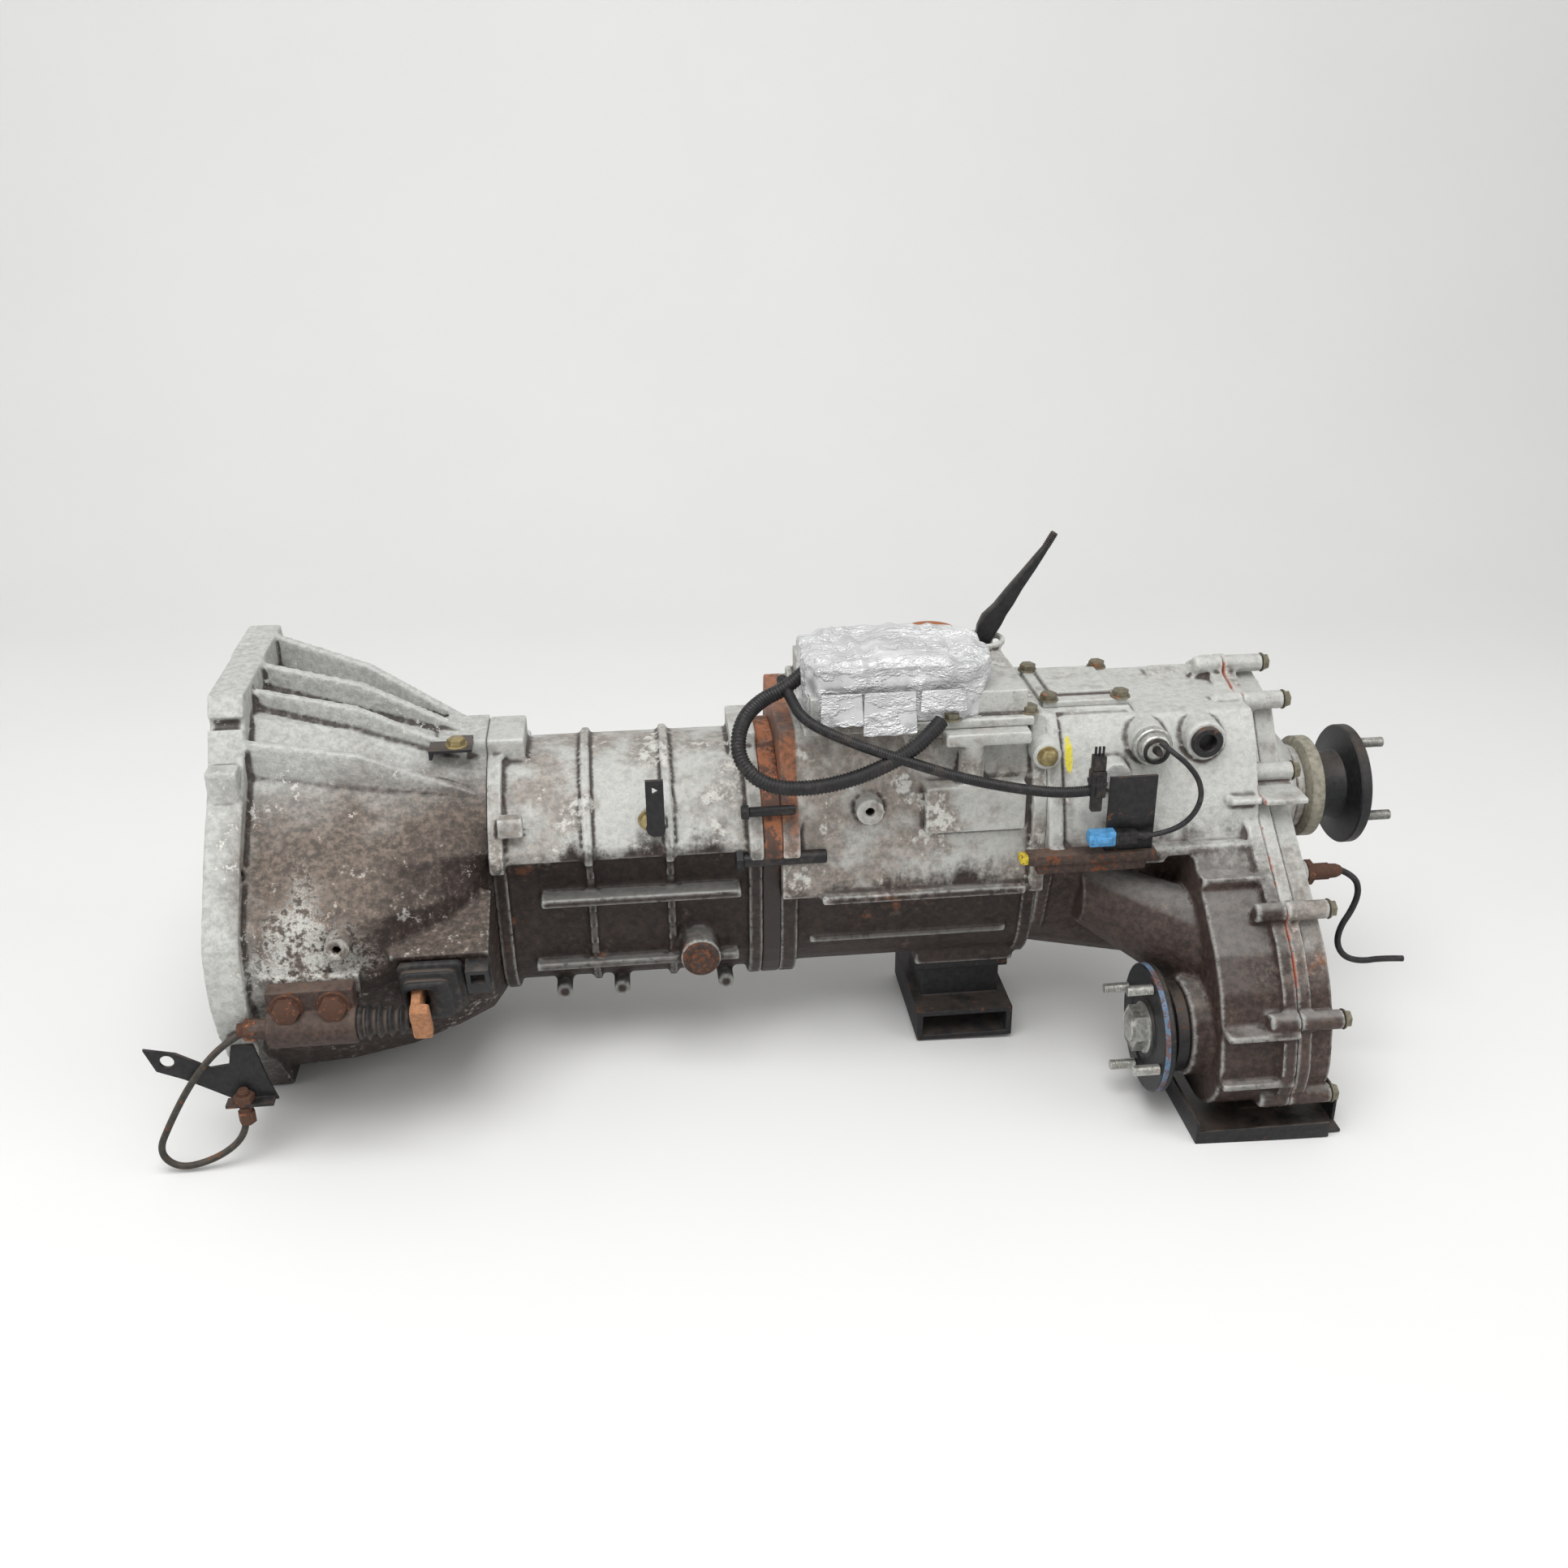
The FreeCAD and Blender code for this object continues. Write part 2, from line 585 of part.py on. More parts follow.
# Transfer case
def transfer_front_case():
    front, face = d.adapter_rear, d.split_face
    parts = [
        slab(TRANSFER_OUTLINE, "adapter_rear", "split_face - adapter_rear"),
        slab(TRANSFER_OUTLINE, "adapter_rear", "joint_thick", 5),
        rounded_cone(((front, 0, -84, 62), (face - 60, 0, -108, 66)), 18, "Belly"),
        rounded_cone(((776, -66, -62, 34), (face - 66, -120, -96, 52)), 18, "Arm"),
        slab(CHAIN_OUTLINE, "split_face - 67", 67, -5),
        slab(CHAIN_OUTLINE, "split_face - joint_thick", "joint_thick", 3),
        prism(46, 22, ("split_face - 86", "drop_y", "drop_z"), "X", 20, "Snout"),
        box((104, 20, 16), ("adapter_rear + 4", -124, -12), "Front shelf"),
        box((96, 20, 10), ("adapter_rear + 104", -124, -6), "Rear shelf"),
        prism("sensor_radius + 3", 44, ("sensor_x", "-sensor_face", "sensor_z"), "Y", 16, "Sensor boss"),
        prism("plug_radius + 6", 34, ("switch_x", "-sensor_face", "sensor_z"), "Y", 16, "Switch boss"),
        prism(14, 44, (797, -104, 68), "Y", 16, "Round boss"),
        box((30, 40, 6), ("split_face - 30", -112, 36), "Fin"),
        box((84, 96, 8), ("adapter_rear + 2", -56, "transfer_top - 2"), "Cover seat"),
        box((66, 20, 8), ("split_face - 66", -154, -24), "Arm rib"),
        box((66, 60, 6), ("split_face - 66", -252, -128), "Low rib one"),
        box((66, 60, 6), ("split_face - 66", -252, -178), "Low rib two"),
    ]
    for y, z in COVER_BOLTS:
        parts.append(prism(9, 28, ("split_face - 28", y, z), "X", 10, "Bolt boss"))
    tools = [
        prism(68, "split_face - adapter_rear - 90", ("adapter_rear + 12", 0, 0), "X", 20),
        prism(54, 96, ("adapter_rear + 12", 0, "-shaft_drop"), "X", 18),
        prism("main_bearing", 20, ("adapter_rear - 1", 0, 0), "X", 20),
        prism("rail_radius + gap", 20, ("adapter_rear - 1", 0, "range_height")),
        prism("main_bearing", 40, ("split_face - 84", 0, 0), "X", 20),
        slab(CHAIN_OUTLINE, "split_face - 58", 60, -13),
        prism("front_bearing", 40, ("split_face - 87", "drop_y", "drop_z"), "X", 20),
        prism("sensor_radius + fit", 20, ("sensor_x", "-sensor_face - 1", "sensor_z"), "Y", 16),
        prism("plug_radius - 2", 14, ("switch_x", "-sensor_face - 1", "sensor_z"), "Y", 6),
    ]
    return node(cut(fuse(parts), tools), "transfer_front_case")


def transfer_rear_cover():
    parts = [
        slab(CHAIN_OUTLINE, "split_face", "joint_thick", 3),
        slab(CHAIN_OUTLINE, "split_face", "cover_depth", -6),
        rounded_cone(((d.split_face, 0, 6, 76), (d.cover_rear - 20, 0, 4, 66), (d.cover_rear, 0, 0, 48)),
                     20, "Hub"),
        prism(42, 14, ("cover_rear - 2", 0, 0), "X", 20, "Neck"),
        box((54, 9, 50), ("split_face + 4", 60, 40), "Side rib"),
        box((42, 150, 8), ("split_face + 4", -150, -92), "Web rib"),
        box((42, 44, 6), ("split_face", -116, 36), "Fin"),
        prism(12, 16, ("split_face + cover_depth - 2", "rear_plug_y", "rear_plug_z"), "X", 12, "Plug boss"),
    ]
    for y, z in COVER_BOLTS:
        parts.append(prism(9, "boss_long", ("split_face", y, z), "X", 10, "Bolt boss"))
    tools = [
        slab(CHAIN_OUTLINE, "split_face - 1", "cover_depth - 7", -13),
        prism("main_bearing", 26, ("cover_rear - 36", 0, 0), "X", 20),
        prism("out_shaft + 6", 90, ("split_face", 0, 0), "X", 16),
        prism("front_bearing", 12, ("split_face + cover_depth - 17", "drop_y", "drop_z"), "X", 20),
    ]
    return node(cut(fuse(parts), tools), "transfer_rear_cover")


def transfer_cover_plate():
    seat = "transfer_top + 6"
    parts = [
        box((80, 90, 6), ("adapter_rear + 4", -52, seat), "Plate"),
        box((58, 62, 5), ("adapter_rear + 15", -38, f"{seat} + 5"), "Raised field"),
    ]
    return node(fuse(parts), "transfer_cover_plate")


# Shafts and gears of the box
MODULE = 84 / 18
PAIRS = {
    # name: (start, teeth on the main axis, teeth on the countershaft)
    "input": (250, 14, 22), "third": (312, 17, 19), "second": (340, 20, 16), "first": (402, 24, 12),
    "fifth": (498, 13, 23),
}
SLEEVES = {"third_fourth": 283, "first_second": 371, "fifth_reverse": 530}
TRANSFER_MODULE = 84 / 15
TRANSFER_PAIRS = {"high": (748, 13, 17), "low": (806, 18, 12)}
RANGE_SLEEVE = 769
CHAIN_MODULE = 4.8
CHAIN_TEETH = 18


def input_shaft():
    nose = cylinder("pilot_radius", "pilot_front + pilot_rear", ("-pilot_front", 0, 0), "X", "Pilot")
    steps = faceted([
        ("pilot_rear", "bell_rear - 2", "input_radius"),
        ("bell_rear - 2", "bell_rear + input_bearing_wide + 30", "input_journal"),
    ], name="Input")
    splines = toothed(int(d.spline_teeth), 2.1, "pilot_rear + 4", "spline_end - pilot_rear", name="Splines")
    start, teeth, _ = PAIRS["input"]
    rim = toothed(teeth, MODULE, start, "gear_wide", phase=-90, name="DriveTeeth")
    return node(fuse([nose, splines, rim] + steps), "input_shaft")


def countershaft():
    last = PAIRS["fifth"][0] + d.gear_wide
    parts = faceted([
        ("bell_rear + 5", "bell_rear + input_bearing_wide", "counter_journal"),
        ("bell_rear + input_bearing_wide", "case_rear", "counter_radius + 6"),
        ("case_rear", last + 6, "counter_journal"),
    ], at=(0, "-shaft_drop"), name="Counter")
    for start, _, teeth in PAIRS.values():
        half_pitch = 180 / teeth
        parts.append(toothed(teeth, MODULE, start, "gear_wide", at=(0, "-shaft_drop"), phase=90 + half_pitch))
    return node(fuse(parts), "countershaft")


def free_gear(name):
    start, teeth, _ = PAIRS[name]
    rim = toothed(teeth, MODULE, start, "gear_wide", phase=-90, bore=d.gear_bore + d.gap, name=name + "Rim")
    return node(rim, name + "_gear")


def mainshaft():
    parts = faceted([
        (281, "case_rear", "gear_bore"), ("case_rear", "case_rear + plate_thick", "main_journal"),
        ("case_rear + plate_thick", 524, "gear_bore"), (524, "adapter_rear + 12", "main_journal"),
        ("adapter_rear + 12", 774, "hub_radius"),
    ], name="Main")
    for start in SLEEVES.values():
        parts.append(prism("hub_radius", "sleeve_wide - 2", (start + 1, 0, 0), "X", 16, "Hub"))
    start, teeth, _ = TRANSFER_PAIRS["high"]
    parts.append(toothed(teeth, TRANSFER_MODULE, start, "gear_wide", phase=-90))
    return node(fuse(parts), "mainshaft")


def synchro_sleeve(name, x):
    """A sleeve with a groove for its fork, sliding on its hub."""
    side = "(sleeve_wide - groove_wide) / 2"
    rims = [
        prism("sleeve_outer", side, (x, 0, 0), "X", 18),
        prism("sleeve_outer - groove_deep", "sleeve_wide", (x, 0, 0), "X", 18),
        prism("sleeve_outer", side, (f"{x} + sleeve_wide - {side}", 0, 0), "X", 18),
    ]
    bore = prism("(hub_radius + gap) / cos(11.25)", "sleeve_wide + 2", (x - 1, 0, 0), "X", 16)
    return node(cut(fuse(rims), [bore]), name + "_sleeve")


def shift_rail(x, lane, start, end, height="rail_height"):
    """A rail with the fork that rides in its sleeve's groove."""
    y = lane * d.rail_pitch
    web_low = "(sleeve_outer + 4)"
    middle = f"{x} + sleeve_wide / 2 - fork_thick / 2"
    inner = d.sleeve_outer - d.groove_deep + d.gap
    outer = d.sleeve_outer + 8
    arms = [polar(angle, outer)[1:] for angle in range(-10, 191, 20)]
    arms += [polar(angle, inner / math.cos(math.radians(10)))[1:] for angle in range(190, -11, -20)]
    rail = prism("rail_radius", f"{end} - {start}", (start, y, height), "X", 12, "Rail")
    hub = prism("rail_radius + 2", "sleeve_wide - 4", (f"{x} + 2", y, height), "X", 12, "Fork hub")
    web = box(("fork_thick", 12, f"{height} - {web_low}"), (middle, y - 6, web_low), "Web")
    yoke = slab(arms, middle, "fork_thick", name="Yoke")
    return [rail, hub, web, yoke]


def transfer_countershaft():
    parts = faceted([
        ("adapter_rear + 12.3", 749, "counter_radius"), (749, 830, "counter_radius + 5"),
        (830, "adapter_rear + 107.7", "counter_radius"),
    ], at=(0, "-shaft_drop"), name="Lay")
    for start, _, teeth in TRANSFER_PAIRS.values():
        parts.append(toothed(teeth, TRANSFER_MODULE, start, "gear_wide", at=(0, "-shaft_drop"),
                             phase=90 + 180 / teeth))
    return node(fuse(parts), "transfer_countershaft")


def low_gear():
    start, teeth, _ = TRANSFER_PAIRS["low"]
    rim = toothed(teeth, TRANSFER_MODULE, start, "gear_wide", phase=-90, bore=d.gear_bore + d.gap)
    return node(rim, "low_gear")


def rear_output_shaft():
    parts = faceted([
        (775, "split_face - 84", "gear_bore"), ("split_face - 84", "split_face - 58", "main_journal"),
        ("split_face - 58", "cover_rear - 36", "gear_bore"),
        ("cover_rear - 36", "cover_rear - 10", "main_journal"),
        ("cover_rear - 10", "flange_face - flange_thick - 32", "out_shaft"),
    ], name="RearShaft")
    parts.append(prism("hub_radius", "sleeve_wide + 2", (775, 0, 0), "X", 16, "Range hub"))
    parts.append(cylinder("out_shaft - 4", "flange_thick + 32", ("flange_face - flange_thick - 32", 0, 0)))
    return node(fuse(parts), "rear_output_shaft")


# Output flanges
def output_flange(label, face, y, z, way):
    """A flanged hub behind its stud face, away from the studs. Its bore clears the shaft's end."""
    rim, hub, thick = d.out_flange, d.hub_outer, d.flange_thick
    steps = ((0, rim - 1.5), (2, rim), (thick, rim), (thick + 4, hub), (thick + 32, hub))
    stations = [(face - way * along, y, z, radius) for along, radius in steps]
    bore_start = min(face, stations[-1][0]) - 1
    bore = cylinder("out_shaft - 4 + fit", "flange_thick + 34", (bore_start, y, z), "X", "Bore")
    return node(cut(rounded_cone(stations, 28, "Flange"), [bore]), label)


def flange_studs(label, face, y, z, way):
    """Four studs and the shaft's nut."""
    nut_start = face if way > 0 else face - d.nut_high
    studs = [hexagon("nut_across / 1.732", "nut_high", (nut_start, y, z))]
    for quarter in range(4):
        angle = f"(stud_angle + {90 * quarter})"
        at = (face if way > 0 else face - d.stud_long,
              f"{y} + stud_circle * cos({angle})", f"{z} + stud_circle * sin({angle})")
        studs.append(cylinder("stud_radius", "stud_long", at, "X", "Stud"))
    return node(group(studs), label)


def ring(outer, inner, length, at, sides=16):
    """A bearing or a seal: the outside sits in its housing, and the bore's flats clear the shaft."""
    bore = f"({inner} + fit) / cos({180 / sides})"
    return cut(prism(outer, length, at, "X", 20),
               [prism(bore, f"{length} + 2", (f"{at[0]} - 1",) + tuple(at[1:]), "X", sides)], "Ring")


def shaft_bearings():
    low, drop = "counter_bearing", (0, "-shaft_drop")
    front = ("drop_y", "drop_z")
    rings = [
        ring("input_bearing", "input_journal", "input_bearing_wide", ("bell_rear", 0, 0)),
        ring("main_bearing", "main_journal", "plate_thick", ("case_rear", 0, 0)),
        ring(low, "counter_journal", 11, ("bell_rear + 5", *drop)),
        ring(low, "counter_journal", "plate_thick", ("case_rear", *drop)),
        ring("main_bearing", "main_journal", 25, ("adapter_rear - 13", 0, 0)),
        ring("main_bearing", "main_journal", 24, ("split_face - 83", 0, 0)),
        ring("main_bearing", "main_journal", 20, ("cover_rear - 35", 0, 0)),
        ring("front_bearing", "main_journal", 14, ("split_face - 73", *front)),
        ring("front_bearing", "main_journal", 10, ("split_face + cover_depth - 16", *front)),
    ]
    return node(group(rings), "shaft_bearings")


def front_output_shaft():
    start = "front_face"
    parts = faceted([
        ("front_face + flange_thick + 32", "split_face - 58", "main_journal"),
        ("split_face - 58", "split_face + cover_depth - 17", "gear_bore"),
        ("split_face + cover_depth - 17", "split_face + cover_depth - 6", "main_journal"),
    ], at=("drop_y", "drop_z"), name="FrontShaft")
    parts.append(cylinder("out_shaft - 4", "flange_thick + 32", (start, "drop_y", "drop_z")))
    parts.append(toothed(CHAIN_TEETH, CHAIN_MODULE, "chain_station - sprocket_wide / 2", "sprocket_wide",
                         at=("drop_y", "drop_z"), name="DrivenTeeth"))
    return node(fuse(parts), "front_output_shaft")


def chain_sprocket():
    wheel = toothed(CHAIN_TEETH, CHAIN_MODULE, "chain_station - sprocket_wide / 2", "sprocket_wide",
                    bore=d.gear_bore + d.gap, name="DriveTeethRear")
    return node(wheel, "chain_sprocket")


def drive_chain():
    """Link plates along a closed loop round both sprockets, each clear of the next."""
    radius = CHAIN_MODULE * (CHAIN_TEETH / 2 + 0.78) + d.gap + d.chain_thick / 2
    span = math.hypot(d.drop_y, d.drop_z)
    lean = math.atan2(d.drop_z, d.drop_y)
    half_turn = math.pi * radius
    length = 2 * span + 2 * half_turn
    links = 2 * round(length / 2 / d.chain_pitch)
    plates = []
    for number in range(links):
        run = (number + 0.5) * length / links
        if run < span:
            along, across, turn = run, radius, 0.0
        elif run < span + half_turn:
            turn = (run - span) / radius
            along, across = span + radius * math.sin(turn), radius * math.cos(turn)
        elif run < 2 * span + half_turn:
            along, across, turn = 2 * span + half_turn - run, -radius, math.pi
        else:
            turn = math.pi + (run - 2 * span - half_turn) / radius
            along, across = radius * math.sin(turn), radius * math.cos(turn)
        long = length / links + 1.2
        wide = d.chain_wide if number % 2 else d.chain_wide - 5
        plate = Part.makeBox(wide, long, d.chain_thick - 2 * (number % 2), Vector(-wide / 2, -long / 2,
                             -d.chain_thick / 2 + (number % 2)))
        plate.rotate(Vector(), Vector(1, 0, 0), -math.degrees(turn))
        plate.translate(Vector(d.chain_station, along, across))
        plates.append(plate)
    loop = plates[0].fuse(plates[1:])
    loop.rotate(Vector(), Vector(1, 0, 0), math.degrees(lean))
    return node(solid(loop, "Chain"), "drive_chain")


# Clutch release parts
def front_retainer():
    seat = "bell_rear - bell_back"
    parts = [
        prism(54, 9, (f"{seat} - 9", 0, 0), "X", 18, "Retainer plate"),
        cylinder("sleeve_radius", f"{seat} - 104", (104, 0, 0), "X", "Sleeve"),
    ]
    bore = prism("sleeve_radius - sleeve_wall", 140, (100, 0, 0), "X", 16)
    return node(cut(fuse(parts), [bore]), "front_bearing_retainer")


def release_bearing():
    front = d.fork_station - d.gap - d.bearing_wide
    outer, inner = d.bearing_outer, d.bearing_inner
    steps = ((0, outer), (14, outer), (14.5, inner + 12), (d.bearing_wide, inner + 12))
    form = rounded_cone([(front + along, 0, 0, radius) for along, radius in steps], 24, "Bearing")
    bore = cylinder("bearing_inner", "bearing_wide + 2", (front - 1, 0, 0), "X", "Bore")
    return node(cut(form, [bore]), "release_bearing")


def release_fork():
    """A pressed fork in the plane across X, with two prongs past the bearing's sleeve."""
    wide, reach, pivot = d.fork_wide / 2, d.fork_reach, d.pivot_reach
    face = Part.Face(Part.makePolygon([Vector(0, *p) for p in (
        (0, 25), (0, 37), (30, 40), (pivot, 24), (pivot + 30, wide), (reach, wide - 2),
        (reach, 2 - wide), (pivot + 30, -wide), (pivot, -24), (30, -40), (0, -37), (0, -25),
        (20, -24), (29, -12), (29, 12), (20, 24), (0, 25),
    )]))
    plate = face.extrude(Vector(d.fork_plate, 0, 0))
    plate.translate(Vector(d.fork_station, 0, 0))
    low = Vector(d.fork_station + 4 - d.gap, pivot, 0)
    socket = Part.makeCylinder(d.ball_radius + d.gap, d.fork_plate, low, Vector(1, 0, 0))
    return node(solid(along_fork(plate.cut(socket)), "Fork"), "release_fork")


def fork_pivot_stud():
    x, y, z = polar(FORK, d.pivot_reach, d.fork_station + 12)
    seat = "bell_rear - bell_back"
    parts = [facet_ball(d.ball_radius, x, y, z), prism(5, f"{seat} - {x}", (x, y, z), "X", 10),
             hexagon(11, 7, (f"{seat} - 7", y, z))]
    return node(fuse(parts), "fork_pivot_stud")


def fork_boot():
    """The rubber boot in the window, drawn along +Y about the fork and turned with it."""
    wide, plate, start = d.fork_wide / 2, d.fork_plate, d.fork_station
    steps = ((152, 178, 56, 9, 31), (154, 187, 48, 5, 27), (152, 192, 50, 5, 29), (156, 197, 34, 6, 24))
    boot = None
    for x, low, long, thick, half in steps:
        layer = Part.makeBox(long, thick + 0.5, 2 * half, Vector(x, low, -half))
        boot = layer if boot is None else boot.fuse(layer)
    slot = Part.makeBox(plate + 2 * d.gap, 60, 2 * (wide + d.gap), Vector(start - d.gap, 170, -wide - d.gap))
    return node(solid(along_fork(boot.cut(slot).removeSplitter()), "Boot"), "fork_boot")


def boot_retainer():
    """The plastic clip beside the boot."""
    clip = Part.makeBox(20, 15, 30, Vector(210, 178, -27))
    recess = Part.makeBox(12, 10, 12, Vector(214, 186, -22))
    return solid(along_fork(clip.cut(recess)), "Clip")


def slave_cylinder():
    long = "slave_rear - slave_front"
    parts = [
        cylinder("slave_radius", long, ("slave_front", "slave_y", "slave_z"), "X", "Barrel"),
        box((72, 17, 40), ("slave_front + 1", "slave_y - 4", "slave_z - 4"), "Ear"),
        prism(9, 20, ("slave_front - 16", "slave_y", "slave_z"), "X", 10, "Port"),
    ]
    bore = prism("slave_radius - 5", f"{long} - 12", ("slave_front + 14", "slave_y", "slave_z"), "X", 16)
    return node(cut(fuse(parts), [bore]), "slave_cylinder")


def slave_bellows():
    """Ribbed rubber gaiter between the cylinder's mouth and the push rod."""
    folds = 4
    pitch = (d.bellows_rear - d.slave_rear) / folds
    outer = [(d.slave_rear, 13)]
    for fold in range(folds):
        start = d.slave_rear + fold * pitch
        outer += [(start + pitch * 0.45, 15 - fold), (start + pitch * 0.9, 11 - fold)]
    outer.append((d.bellows_rear, 8))
    skin_form = rounded_cone([(x, d.slave_y, d.slave_z, radius) for x, radius in outer], 14, "Gaiter")
    bore = prism("rod_radius + gap + 0.2", 60, ("slave_rear - 1", "slave_y", "slave_z"), "X", 12)
    return node(cut(skin_form, [bore]), "slave_bellows")


def slave_pushrod():
    rod = stepped([
        ("slave_front + 20", "slave_front + 34", "(slave_radius - 5.4) * cos(11.25)"),
        ("slave_front + 34", "fork_station - gap", "rod_radius"),
    ], at=("0", "slave_y", "slave_z"), name="Rod")
    return node(rod, "slave_pushrod")


def clutch_pipe():
    """Rigid pipe from the cylinder's port, round in a loop to the bracket's union."""
    return node(cable([
        (29, -205, -75.2), (16, -208, -80), (-4, -214, -94), (-26, -216, -122), (-46, -217, -156),
        (-60, -218, -184), (-46, -217, -203), (-18, -216, -198), (6, -214, -184), (16, -212, -166),
        (17, -211, -150),
    ], 3, 6, "ClutchPipe"), "clutch_pipe")


def pipe_bracket():
    """The black steel plate that holds the pipe's union."""
    corners = [(-60, -88), (-34, -94), (-8, -110), (8, -108), (12, -90), (30, -90), (38, -126), (44, -146),
               (6, -142), (-30, -120), (-52, -110)]
    face = Part.Face(Part.makePolygon([Vector(x, -206, z) for x, z in corners + corners[:1]]))
    plate = face.extrude(Vector(0, 3, 0))
    hole = Part.makeCylinder(6, 8, Vector(-42, -208, -101), Vector(0, 1, 0))
    lip = Part.makeBox(40, 12, 3, Vector(2, -217, -145))
    bore = Part.makeCylinder(3.3, 8, Vector(17, -211, -148), Vector(0, 0, 1))
    return solid(plate.cut(hole).fuse(lip.cut(bore)).removeSplitter(), "Bracket")


# Fasteners and small pieces
def hex_bolt(at, out):
    """A bolt: a hex head on its seat, and a shank in the part below it."""
    into = tuple(-c for c in out)
    head = hexagon("bolt_head", "bolt_high", at, out)
    shank = hexagon("bolt_shank", "bolt_reach", at, into)
    return fuse([head, shank])


def case_bolts():
    up, rear, near = (0, 0, 1), (1, 0, 0), (0, -1, 0)
    seats = [((x, "slave_y - 4", "slave_z + 25"), near) for x in (64, 102)]
    for x in ("adapter_rear + 10", "adapter_rear + 78"):
        seats += [((x, y, "transfer_top + 12"), up) for y in (-46, 32)]
    for x, y in ((552, -88), (646, -88), (718, -80), (718, 60), (600, 64)):
        seats.append(((x, y, "adapter_top + 9"), up))
    seats += [(("split_face + boss_long", y, z), rear) for y, z in COVER_BOLTS]
    return node(group([hex_bolt(at, out) for at, out in seats]), "case_bolts")


def hex_plug(x, face, z, radius, sides):
    """A plug screwed into a boss that faces the viewer: its thread, then its head."""
    return fuse([prism(f"{radius} - 0.3", 12, (x, f"{face} - 2", z), "Y", sides),
                 prism(f"{radius} + 3", 5, (x, f"{face} - 5", z), "Y", sides)])


def plugs():
    filler = hex_plug(415, -100, -96, "plug_radius", 6)
    switch = hex_plug("switch_x", "-sensor_face", "sensor_z", "(plug_radius - 2)", 6)
    node(group([filler, switch]), "hex_plugs")
    at, face = "sensor_x", "-sensor_face"
    sensor = fuse([prism("sensor_radius", 34, (at, f"{face} - 18", "sensor_z"), "Y", 16),
                   prism("sensor_radius + 3", 8, (at, f"{face} - 8", "sensor_z"), "Y", 16)])
    mouth = prism("sensor_radius - 3", 12, (at, f"{face} - 19", "sensor_z"), "Y", 14)
    node(cut(sensor, [mouth]), "speed_sensor")
    end = ("split_face + cover_depth + 14", "rear_plug_y", "rear_plug_z")
    node(fuse([prism(8, 34, end, "X", 12), prism(11, 6, end, "X", 6)]), "rear_switch")


def skid_guard():
    x, y, low, sheet_thick = d.split_face - 84, -250, -d.skid_low, d.skid_sheet
    parts = [
        box((126, 120, sheet_thick), (x, y + 4, low), "Floor"),
        box((sheet_thick, 120, 26), (x, y + 4, low), "Front lip"),
        box((126, sheet_thick, 16), (x, y + 4, low), "Side lip"),
        box((30, 100, sheet_thick), (x + 110, y + 10, low), "Tail"),
        box((sheet_thick, 40, 34), (x + 137, y + 24, low), "Rear tab"),
        box((34, 50, 4.7), (x + 58, y + 50, low), "Seat"),
    ]
    return node(fuse(parts), "skid_guard")


def gearbox_mount():
    """The rubber block between its two steel seats, bonded as one."""
    front, seat = "mount_front", "mount_seat"
    parts = [
        box((92, 84, 8), (f"{front} + 2", -42, f"-{seat} - 8"), "Upper plate"),
        box((78, 70, 36), (f"{front} + 9", -35, f"-{seat} - 43"), "Block"),
        box((96, 130, 6), (front, -65, f"-{seat} - 48"), "Sole"),
        box((6, 130, 22), (front, -65, f"-{seat} - 70"), "Front web"),
        box((6, 130, 22), (f"{front} + 90", -65, f"-{seat} - 70"), "Rear web"),
        box((96, 130, 5), (front, -65, f"-{seat} - 75"), "Base"),
    ]
    return node(fuse(parts), "gearbox_mount")


def transfer_lever():
    """A forged lever on a ball, with a finger below it in the rail's dog."""
    x, y, z = d.lever_x, d.lever_y, d.lever_z
    corners = ((1, .5), (.5, 1), (-.5, 1), (-1, .5), (-1, -.5), (-.5, -1), (.5, -1), (1, -.5))
    stations = ((6, 0, 7, 7), (30, 9, 12, 6), (48, 19, 9, 6), (108, 60, 4, 4), (122, 68, 4, 4))
    rings = []
    for up, back, wide, thick in stations:
        rings.append([Vector(x + back + wide * a, y + thick * b, z + up) for a, b in corners])
    tip = d.finger_low + d.finger_ball
    finger = prism("finger_stem", z - tip, (x, y, tip), "Z", 10, "Finger")
    balls = [facet_ball(d.lever_ball, x, y, z, 12), facet_ball(d.finger_ball, x, y, tip)]
    return node(fuse([solid(skin(rings), "Blade"), finger] + balls), "transfer_lever")


def range_rail():
    """The transfer's shift rail, its fork, and the dog that the lever's finger moves."""
    parts = shift_rail(RANGE_SLEEVE, 0, 686, 789, "range_height")
    dog = box((22, "lever_y + 12", 12), ("lever_x - 11", -2, "range_height"), "Arm")
    at = ("lever_x - 11", "lever_y - 9", "range_height")
    horn = box((22, 18, "finger_low + 12 - range_height"), at, "Horn")
    half = "(finger_ball + 0.5)"
    slot = box((f"2 * {half}", 20, 20), (f"lever_x - {half}", "lever_y - 10", "finger_low - 2"))
    return node(cut(fuse(parts + [dog, horn]), [slot]), "range_rail")


def lever_cap():
    at = ("cap_x", "lever_y - 4", "control_top + 12")
    parts = [prism(26, 5, at, "Z", 18), prism(19.5, 10, at[:2] + ("control_top + 4",), "Z", 18)]
    return node(fuse(parts), "lever_cap")


def tape_wrap():
    """Tape round the front of the control housing, a plain closed form."""
    rim = "adapter_top + 9 + gap"
    outer = box((176, 118, f"control_top + 20 - {rim}"), (512, -94, rim))
    tools = [
        box((197, 147, 60), ("520 - gap", "-84 - gap", "control_top - 60 + gap")),
        prism("30 + gap * 2", 40, ("cap_x", "lever_y - 4", "control_top"), "Z", 18),
        prism("24 + gap * 2", 40, ("lever_x", "lever_y", "control_top"), "Z", 18),
    ]
    return node(cut(outer, tools), "tape_wrap")


